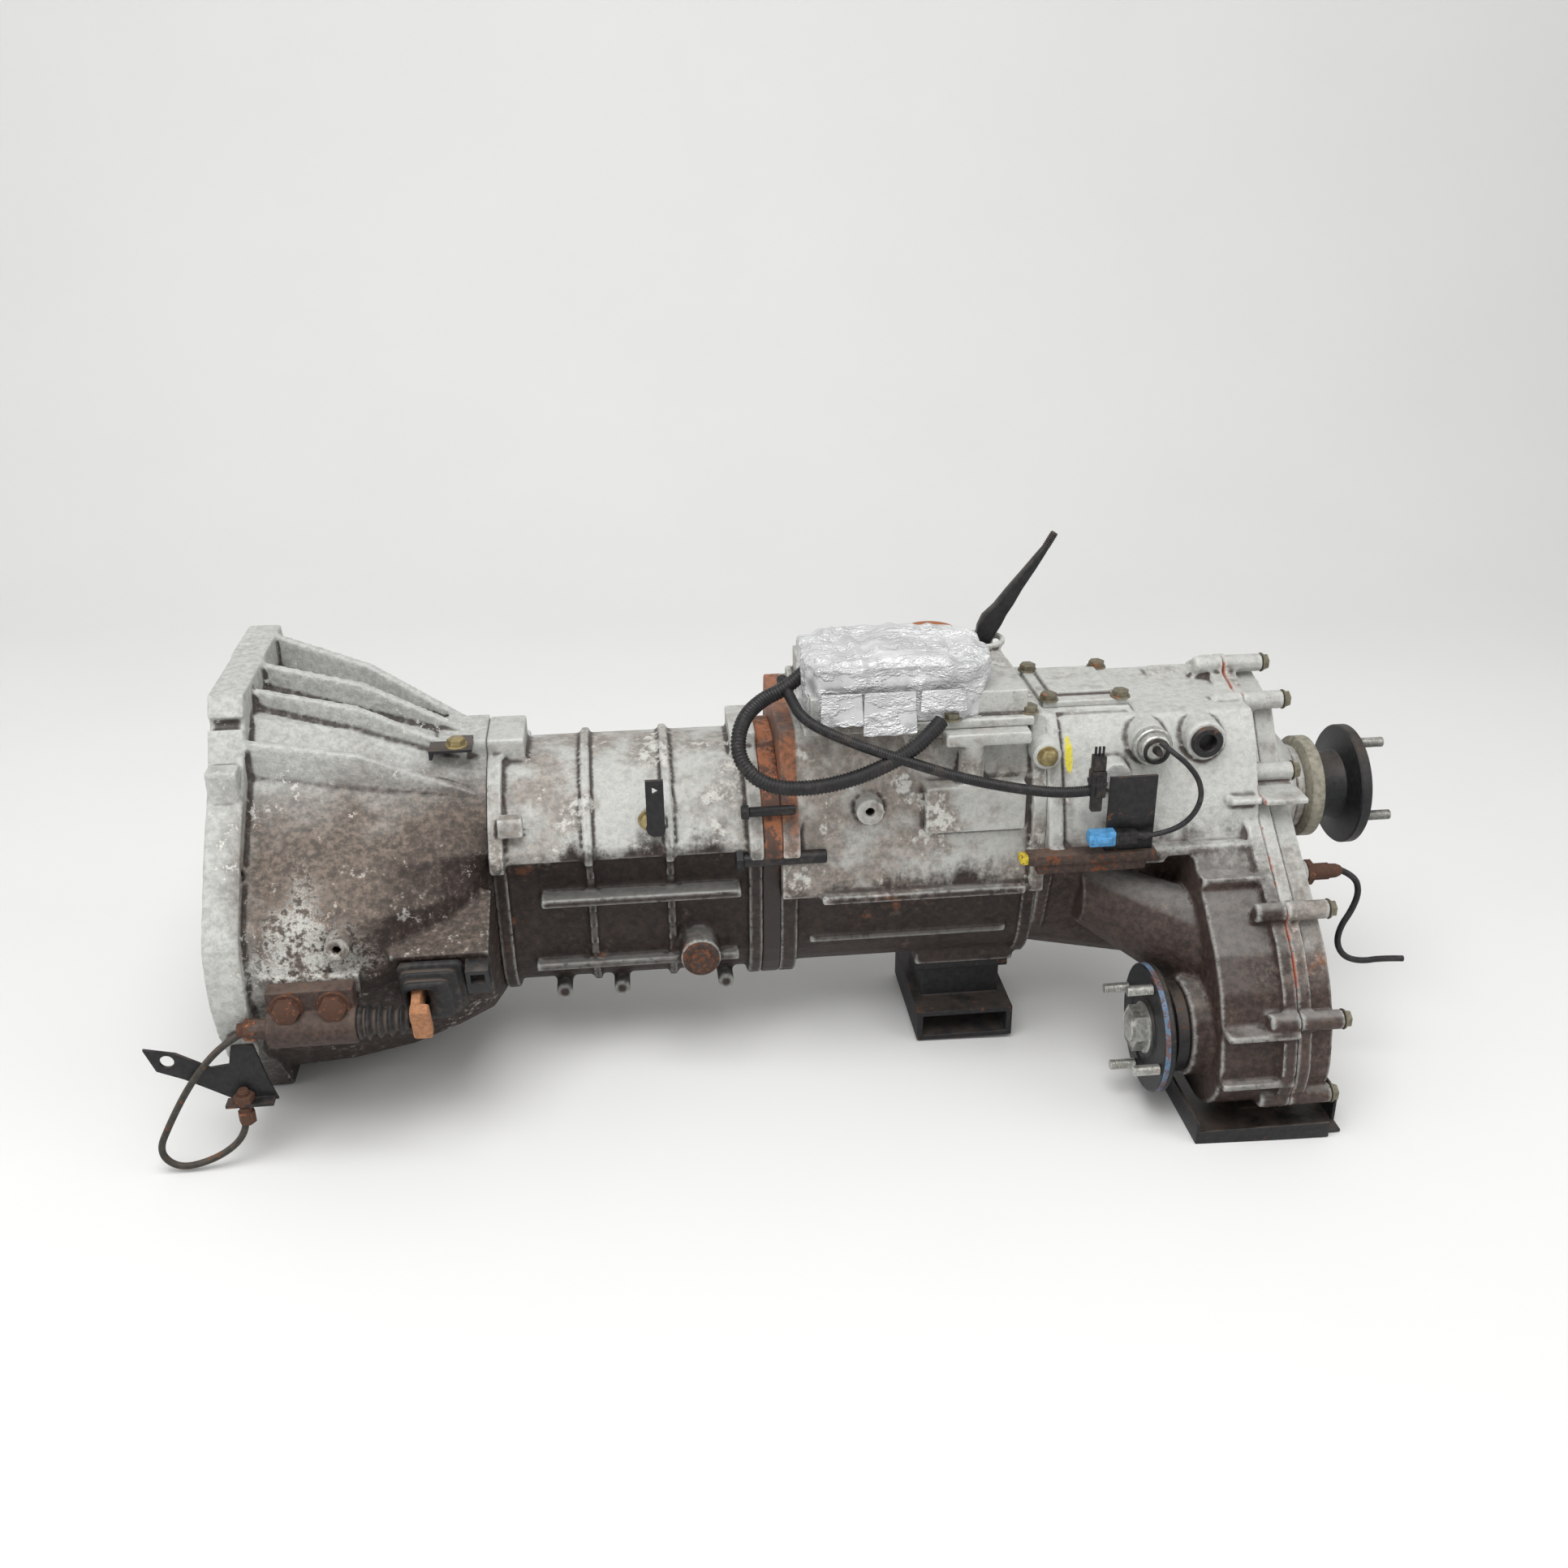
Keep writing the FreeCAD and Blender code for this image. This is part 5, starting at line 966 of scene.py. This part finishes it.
class GEARBOX_OT_flanges(Undoable, bpy.types.Operator):
    """Both output flanges with their studs, nuts and dust rings"""
    bl_idname = "gearbox.flanges"
    bl_label = "Flanges"

    def execute(self, context):
        front = mm(FRONT_FLANGE, *DROP)
        self.flange("rear", mm(MAIN_FLANGE, 0, 0), FRONT, "output")
        self.flange("front", front, REAR, "front_output")
        form = turned(bmesh.new(), [(0, 36), (0, 46), (3, 50), (15, 50), (16, 48.5), (16.5, 44), (18, 43), (18, 36)],
                      mm(1010, 0, 0), REAR, 72, closed=True)
        piece("rear_dust_seal", form, "dust ring", stands_for=("rear_dust_ring",))
        form = turned(bmesh.new(), [(0, 36), (0, 39), (2, 42), (12, 42), (14, 40), (14, 36)],
                      mm(835, *DROP), REAR, 64, closed=True)
        piece("front_dust_seal", form, "black paint", stands_for=("front_dust_shield",))
        return {"FINISHED"}

    def flange(self, end, face, inward, body):
        """A flange from its stud face inward, and what stands on that face."""
        form = bmesh.new()
        profile = [(0, 13), (0, 27), (1.6, 28.2), (1.6, 38), (0, 39.2), (0, 57.6), (1.2, 59), (9.6, 59), (11, 57.8),
                   (12, 46), (15, 35), (18, 33), (42.4, 33), (43, 32.4), (43, 13)]
        turned(form, profile, face, inward, 96, closed=True)
        piece(f"{end}_flange_disc", form, "flange paint", body, (f"{end}_output_flange",))
        if end == "front":
            form = turned(bmesh.new(), [(0.9, 58.6), (0.9, 59.25), (5.6, 59.25), (5.6, 58.6)],
                          face, inward, 96, closed=True)
            piece("front_flange_rim", form, "rim blue", body)
        form = bmesh.new()
        for quarter in range(4):
            turn = math.radians(15 + 90 * quarter)
            at = face + mm(0, 50.5 * math.cos(turn), 50.5 * math.sin(turn))
            threaded(form, -24, 0.5, 5.0, at, inward)
        hexagon(form, 0.4, -12, 21.5, face, inward)
        turned(form, [(0, 0), (0, 24), (-1.4, 24), (-2.2, 22.6), (-2.2, 0)], face, inward, 48)
        turned(form, [(-11, 0), (-11, 12.2), (-14.4, 12.2), (-15.2, 11.4), (-15.2, 0)], face, inward, 32)
        piece(f"{end}_flange_fasteners", form, "stud steel", body, (f"{end}_flange_studs",))


class GEARBOX_OT_bolts(Undoable, bpy.types.Operator):
    """Every bolt head on the housings"""
    bl_idname = "gearbox.bolts"
    bl_label = "Bolts"

    def execute(self, context):
        top = [((x, y, 124), UP) for x in (745, 813) for y in (-46, 32)]
        flange = [((x, y, 127), UP) for x, y in ((552, -88), (646, -88), (718, -80), (718, 60), (600, 64))]
        rear = [((975, y, z), REAR) for y, z in (
            (24, 124), (-34, 108), (-74, 52), (-183, -36), (-240, -116), (-238, -196), (-150, -226))]
        bolts("case_bolt_heads", top + flange + rear, "plated steel", stands_for=("case_bolts",))
        slave = [((x, -209, -54), NEAR) for x in (64, 102)]
        bolts("slave_bolt_heads", slave, "old rust", 1.5)
        brass = [((373, -99, 49), NEAR), ((733, -98, 90), NEAR), ((206, -49, 109), UP)]
        bolts("bracket_bolt_heads", brass, "brass steel", 1.05)
        form = turned(bmesh.new(), [(-14, 0), (-14, 14), (5, 13), (6, 11.6), (6, 0)], mm(733, -92, 90), NEAR, 40)
        piece("bracket_boss", form, "transfer aluminium")
        form = block(bmesh.new(), (713, -130, -5), (832, -112, 5), 2.0)
        block(form, (722, -126, -16), (824, -114, -4), 2.5)
        piece("shelf_bar", form, "slave iron")
        form = bmesh.new()
        for x, z, long, thick in ((462, 52, 42, 4.6), (456, 4, 76, 6.4)):
            thin = thick - 0.8
            turned(form, [(0, 0), (0, thin), (0.8, thick), (long - 0.8, thick), (long, thin), (long, 0)],
                   mm(x, -101, z), REAR, 24)
            hexagon(form, 0, 7, thick * 1.6, mm(x, -101, z), FRONT, 0.2)
        piece("case_through_bolts", form, "black plastic")
        form = block(bmesh.new(), (706, -128, -4), (714, -114, 4), 1.6)
        piece("shelf_bar_tip", form, "yellow paint")
        return {"FINISHED"}


class GEARBOX_OT_boot(Undoable, bpy.types.Operator):
    """The rubber boot round the release fork"""
    bl_idname = "gearbox.boot"
    bl_label = "Fork boot"

    def execute(self, context):
        fold = sizes().boot_fold * 1000
        stations = ((178, 0.4, 0.0), (184.5, 0.0, 0.0), (186.6, 0.4, 0.2), (187, 3.4, fold * 0.6),
                    (190, 4.0, fold * 0.9), (191, 2.4, fold * 0.2), (193.6, 2.6, fold * 0.4),
                    (194.4, 6.4, fold * 1.4), (197, 7.0, fold * 1.7), (198, 5.2, fold), (201.4, 5.8, fold * 1.2),
                    (203, 8.4, fold * 1.8))
        rings = []
        for reach, inset, draw in stations:
            half_x, half_side = 28 - inset - draw * 0.4, 31 - inset - draw * 0.3
            middle = 180 - draw * 0.6
            outline = rounded_outline(half_x, half_side, 7, 6)
            rings.append([fork_point(middle + a, reach, b) for a, b in outline])
        inner = rounded_outline(7.2, 16.2, 3, 6)
        rings.append([fork_point(168.2 + a, 203, b) for a, b in inner])
        rings.append([fork_point(168.2 + a, 178, b) for a, b in inner])
        form = ringed(bmesh.new(), rings, closed=True)
        mesh = shaped(form, [SMOOTHER])
        boot = piece("boot_rubber", mesh, "rubber", None, ("fork_boot",), crease=0)
        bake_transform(boot)
        return {"FINISHED"}


class GEARBOX_OT_slave(Undoable, bpy.types.Operator):
    """The slave cylinder's bellows and port"""
    bl_idname = "gearbox.slave"
    bl_label = "Slave cylinder"

    def execute(self, context):
        at = mm(0, *SLAVE)
        profile = [(119, 4.8), (119, 14.5), (122, 15.2), (124, 13.4)]
        for fold in range(4):
            start, high = 124.5 + fold * 9.2, 15.6 - fold * 0.8
            profile += [(start + 1.2, high - 5.2), (start + 3.4, high - 0.9), (start + 4.4, high),
                        (start + 5.4, high - 0.9), (start + 7.8, high - 5.4)]
        profile += [(161.4, 8.6), (163, 8.2), (163, 4.8)]
        form = turned(bmesh.new(), profile, at, REAR, 40, closed=True)
        mesh = shaped(form, [SMOOTHER])
        bellows = piece("slave_gaiter", mesh, "rubber", None, ("slave_bellows",), crease=0)
        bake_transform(bellows)
        form = hexagon(bmesh.new(), 0, -9, 9.6, mm(36, *SLAVE), REAR, 0.1)
        turned(form, [(0, 0), (0, 6), (-8, 6), (-8.6, 0)], mm(28, *SLAVE), REAR, 24)
        hexagon(form, 0, 5, 6.4, mm(52, -205, -57), UP, 0.1)
        turned(form, [(4, 0), (4, 3.4), (10, 3.2), (11, 2.2), (11, 0)], mm(52, -205, -57), UP, 20)
        piece("slave_port", form, "bolt rust")
        return {"FINISHED"}


class GEARBOX_OT_release(Undoable, bpy.types.Operator):
    """Release bearing and fork, with the bar at the fork's end"""
    bl_idname = "gearbox.release"
    bl_label = "Release parts"

    def execute(self, context):
        profile = [(0, 19.1), (0, 30), (1.4, 31.6), (1.4, 35.4), (3, 37), (13, 37), (14.2, 35.8), (14.4, 31.2),
                   (25, 31.05), (26, 30), (26, 19.1)]
        form = turned(bmesh.new(), profile, mm(137.7, 0, 0), REAR, 72, closed=True)
        piece("bearing_races", form, "gear steel", "clutch_bearing", ("release_bearing",))
        piece("fork_forging", bevelled(welded("release_fork"), 0.0012), "fork rust", "clutch_fork",
              ("release_fork",), crease=30)
        rings = []
        for reach, inset in ((218, 0.8), (218.8, 0), (227.2, 0), (228, 0.8)):
            outline = rounded_outline(8 - inset, 18 - inset, 2.5)
            rings.append([fork_point(172.5 + a, reach, b - 2) for a, b in outline])
        piece("fork_end_bar", ringed(bmesh.new(), rings), "fork rust", "clutch_fork")
        return {"FINISHED"}


class GEARBOX_OT_lever(Undoable, bpy.types.Operator):
    """The transfer lever and the cap on the control housing"""
    bl_idname = "gearbox.lever"
    bl_label = "Transfer lever"

    def execute(self, context):
        x, y, z = 700, 44, 136
        form = bmesh.new()
        stations = ((5, 0, 6.6, 6.6, 5), (18, 3, 8.4, 6.4, 4), (32, 8, 11.4, 5.8, 3), (42, 12.5, 11.6, 5.6, 3),
                    (52, 21, 9.4, 5.6, 3), (66, 30, 7.8, 5.2, 3), (86, 44.6, 6.0, 4.6, 3), (100, 54.4, 4.6, 4.2, 3.2),
                    (106, 58.6, 4.0, 3.9, 3.6), (109, 60.6, 3.7, 3.7, 3.5))
        rings = []
        for up, back, wide, thick, corner in stations:
            outline = rounded_outline(wide, thick, min(corner, wide * 0.95, thick * 0.95), 5)
            rings.append([mm(x + back + a, y + b, z + up) for a, b in outline])
        ringed(form, rings)
        along = (mm(68, 0, 122) - mm(60, 0, 108)).normalized()
        threaded(form, -1, 14.2, 4.0, mm(x + 60, y, z + 108), along, 1.8)
        turned(form, ball(12, 16), mm(x, y, z), UP, 32)
        finger = z - 75.5
        turned(form, [(0, 0), (0, 3.2), (-finger, 3.2), (-finger, 0)], mm(x, y, z), UP, 16)
        turned(form, ball(5.5, 10), mm(x, y, 75.5), UP, 20)
        piece("lever_forging", form, "black paint", "range_lever", ("transfer_lever",))
        cap = [(-7.6, 0), (-7.6, 19.4), (0, 19.4), (0, 25), (1, 26), (4, 26), (5, 24.8), (5.4, 17), (3.4, 15),
               (3.2, 0)]
        form = turned(bmesh.new(), cap, mm(650, 40, 162), UP, 64)
        piece("cap_pressing", form, "fresh rust", stands_for=("lever_cap",))
        return {"FINISHED"}


class GEARBOX_OT_tape(Undoable, bpy.types.Operator):
    """The silver tape round the control housing, with its loose flaps"""
    bl_idname = "gearbox.tape"
    bl_label = "Tape"

    def execute(self, context):
        low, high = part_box("tape_wrap")
        middle, half = (low + high) / 2, (high - low) / 2
        form = bmesh.new()
        bmesh.ops.create_grid(form, x_segments=110, y_segments=80, size=1.0)
        for vert in form.verts:
            a, b = vert.co.x, vert.co.y
            reach = max(abs(a), abs(b))
            side = max(0.0, (reach - 0.7) / 0.3)
            top = max(min(1.0, reach / 0.7), 1e-6)
            flat_a, flat_b = (a / reach * top, b / reach * top) if reach > 1e-6 else (0.0, 0.0)
            squeeze = (abs(flat_a) ** 5 + abs(flat_b) ** 5) ** 0.2 / max(abs(flat_a), abs(flat_b), 1e-6)
            x, y = flat_a / max(squeeze, 1.0), flat_b / max(squeeze, 1.0)
            crown = 1 - 0.10 * (flat_a * flat_a + flat_b * flat_b)
            crown -= 0.32 * max(0.0, reach - 0.56) ** 2 / 0.0196 * 0.35
            height = crown - side * 1.82
            bulge = 1 - 0.035 * side * (1 - side)
            vert.co = Vector((middle.x + x * half.x * 0.975 * bulge, middle.y + y * half.y * 0.97 * bulge,
                              middle.z + half.z * 0.93 * height))
        self.wrinkle(form, low, high)
        mesh = shaped(form, [("SOLIDIFY", {"thickness": 0.0006, "offset": -1.0}), SMOOTHER])
        piece("tape_wrapping", mesh, "silver tape", stands_for=("tape_wrap",), crease=0)
        self.flaps()
        return {"FINISHED"}

    def wrinkle(self, form, low, high):
        """Creases that run along and across the tape, kept inside the solid's box."""
        deep = sizes().crease
        form.normal_update()
        moves = []
        for vert in form.verts:
            p = vert.co
            long = noise.noise(Vector((p.x * 16, p.y * 60, p.z * 46)))
            cross = noise.noise(Vector((p.x * 62 + 7, p.y * 18, p.z * 20 + 3)))
            crumple = noise.noise(p * 110 + Vector((3, 9, 1)))
            ridge = (1 - abs(long) * 3.2) * 0.55 + (1 - abs(cross) * 3.4) * 0.45 + crumple * 0.25
            moves.append(vert.normal * deep * (ridge - 0.75))
        for vert, move in zip(form.verts, moves):
            vert.co += move
            vert.co = Vector(min(max(value, bottom + 0.0006), top - 0.0003)
                             for value, bottom, top in zip(vert.co, low, high))

    def flaps(self):
        """Ends of tape that hang over the near side."""
        form = bmesh.new()
        for start, wide, drop, curl, seed in ((528, 36, 30, 2.2, 1), (566, 46, 40, 3.4, 5), (617, 40, 20, 1.6, 9)):
            rows = []
            for step in range(15):
                share = step / 14
                row = []
                for number in range(13):
                    across = number / 12
                    x = start + wide * across + 3 * share * (across - 0.4)
                    ripple = noise.noise(Vector((x * 0.09, share * 3, seed))) * 2.4
                    ragged = noise.noise(Vector((x * 0.2, seed, 0))) * 3
                    out = 0.6 + curl * share * share + ripple * share
                    row.append(form.verts.new(mm(x, -94.6 - max(out, 0.2), 158 - (drop + ragged) * share)))
                rows.append(row)
            for first, second in zip(rows, rows[1:]):
                for number in range(12):
                    form.faces.new((first[number], second[number], second[number + 1], first[number + 1]))
        mesh = shaped(form, [("SOLIDIFY", {"thickness": 0.0005, "offset": 0.0}), SMOOTHER])
        piece("tape_flaps", mesh, "silver tape", crease=0)


class GEARBOX_OT_switches(Undoable, bpy.types.Operator):
    """Speed sensor, plugs, rear switch and the blue socket"""
    bl_idname = "gearbox.switches"
    bl_label = "Sensors and plugs"

    def execute(self, context):
        form = turned(bmesh.new(), [(-18, 0), (-18, 15), (-1, 15), (0, 18), (7, 18), (8, 17), (8, 15), (14, 14.4),
                                    (15.4, 13.4), (16, 12), (16, 0)], mm(*SENSOR), NEAR, 56)
        piece("sensor_body", form, "stud steel", stands_for=("speed_sensor",))
        mouth = [(10, 0), (10, 11.9), (16, 12.2), (18.4, 12.2), (19, 11.4), (19, 9.4), (15, 9), (15, 0)]
        form = turned(bmesh.new(), mouth, mm(*SENSOR), NEAR, 48)
        turned(form, [(14, 0), (14, 4), (22, 3.2), (24, 2.6), (24, 0)], mm(830, -94, 95), NEAR, 20)
        piece("sensor_mouth", form, "black plastic")
        at = mm(415, -100, -96)
        form = turned(bmesh.new(), [(-10, 0), (-10, 12.7), (-0.4, 12.7), (0, 17), (2.4, 17), (3, 15.6), (3, 0)],
                      at, NEAR, 48)
        hexagon(form, 2, 9, 12.5, at, NEAR, 0.2)
        piece("filler_plug", form, "slave iron", stands_for=("hex_plugs",))
        plug = [(-10, 0), (-10, 12), (-0.4, 12), (0, 14.6), (4, 14.6), (5, 13.4), (5, 8.6), (4, 7.8), (-4, 7.6),
                (-4, 0)]
        form = turned(bmesh.new(), plug, mm(882, -92, 94), NEAR, 48)
        piece("side_plug", form, "black paint")
        at = mm(985, -110, -38)
        form = hexagon(bmesh.new(), 0, 7, 12, at, REAR)
        turned(form, [(0, 0), (0, 8), (22, 8), (23, 7), (30, 6.6), (34, 5), (35.6, 3.4), (35.6, 0)], at, REAR, 32)
        piece("switch_body", form, "old rust", stands_for=("rear_switch",))
        form = block(bmesh.new(), (766, -137, 15), (790, -125, 29), 1.4)
        block(form, (765.4, -137.6, 18), (769.4, -124.4, 26), 0.6)
        block(form, (772, -138.6, 19), (786, -136.4, 25), 0.6)
        piece("blue_socket", form, "blue plastic", stands_for=("blue_connector",))
        form = block(bmesh.new(), (789.5, -136.4, 16), (811, -125.6, 28), 1.4)
        block(form, (793, -137.4, 19), (803, -135, 25), 0.6)
        turned(form, [(0, 0), (0, 4.6), (9, 4.2), (12, 3.4), (12, 0)], mm(810, -131.4, 22), REAR, 24)
        piece("lead_plug", form, "black plastic")
        return {"FINISHED"}


class GEARBOX_OT_brackets(Undoable, bpy.types.Operator):
    """Brackets, clips, the guard and the mount"""
    bl_idname = "gearbox.brackets"
    bl_label = "Brackets and mount"

    def execute(self, context):
        for node, name, chamfer, material, slot in (
                ("clips_and_brackets", "bracket_pressings", 0.0006, "black paint", "black_paint"),
                ("pipe_bracket", "pipe_bracket_sheet", 0.0006, "black paint", "black_paint"),
                ("skid_guard", "guard_sheet", 0.0008, "black paint", "black_paint"),
                ("gearbox_mount", "mount_block", 0.0015, "mount", "black_rubber")):
            piece(name, bevelled(welded(node), chamfer), material, stands_for=(node,), crease=30)
        return {"FINISHED"}


class GEARBOX_OT_inside(Undoable, bpy.types.Operator):
    """Finishes for the shafts, gears and rails that keep their solids"""
    bl_idname = "gearbox.inside"
    bl_label = "Gears and shafts"

    def execute(self, context):
        for name, thing in NODES.items():
            if thing.hide_render:
                continue
            material = "bright steel" if "rail" in name or "shaft" in name else "gear steel"
            for slot in thing.material_slots:
                slot.material = finish(material)
        return {"FINISHED"}


class GEARBOX_PT_panel(bpy.types.Panel):
    """Every piece of the gearbox, in the order in which it is made"""
    bl_label = "Gearbox"
    bl_space_type = "VIEW_3D"
    bl_region_type = "UI"
    bl_category = "Gearbox"

    def draw(self, context):
        column = self.layout.column(align=True)
        for operator in OPERATORS:
            column.operator(operator.bl_idname)
        for owner in (context.scene.gearbox_sizes, context.scene.gearbox_colours):
            for key in type(owner).__annotations__:
                column.prop(owner, key)


OPERATORS = (
    GEARBOX_OT_stage, GEARBOX_OT_leads, GEARBOX_OT_pipe, GEARBOX_OT_loom, GEARBOX_OT_castings,
    GEARBOX_OT_flanges, GEARBOX_OT_bolts, GEARBOX_OT_boot, GEARBOX_OT_slave, GEARBOX_OT_release,
    GEARBOX_OT_lever, GEARBOX_OT_tape, GEARBOX_OT_switches, GEARBOX_OT_brackets, GEARBOX_OT_inside,
)
CLASSES = (GearboxSizes, GearboxColours) + OPERATORS + (GEARBOX_PT_panel,)


def register():
    for one in CLASSES:
        bpy.utils.register_class(one)
    bpy.types.Scene.gearbox_sizes = bpy.props.PointerProperty(type=GearboxSizes)
    bpy.types.Scene.gearbox_colours = bpy.props.PointerProperty(type=GearboxColours)


def unregister():
    del bpy.types.Scene.gearbox_colours
    del bpy.types.Scene.gearbox_sizes
    for one in reversed(CLASSES):
        bpy.utils.unregister_class(one)


def main():
    """Makes every piece in order."""
    register()
    for operator in OPERATORS:
        group, name = operator.bl_idname.split(".")
        getattr(getattr(bpy.ops, group), name)()


if __name__ == "__main__":
    main()
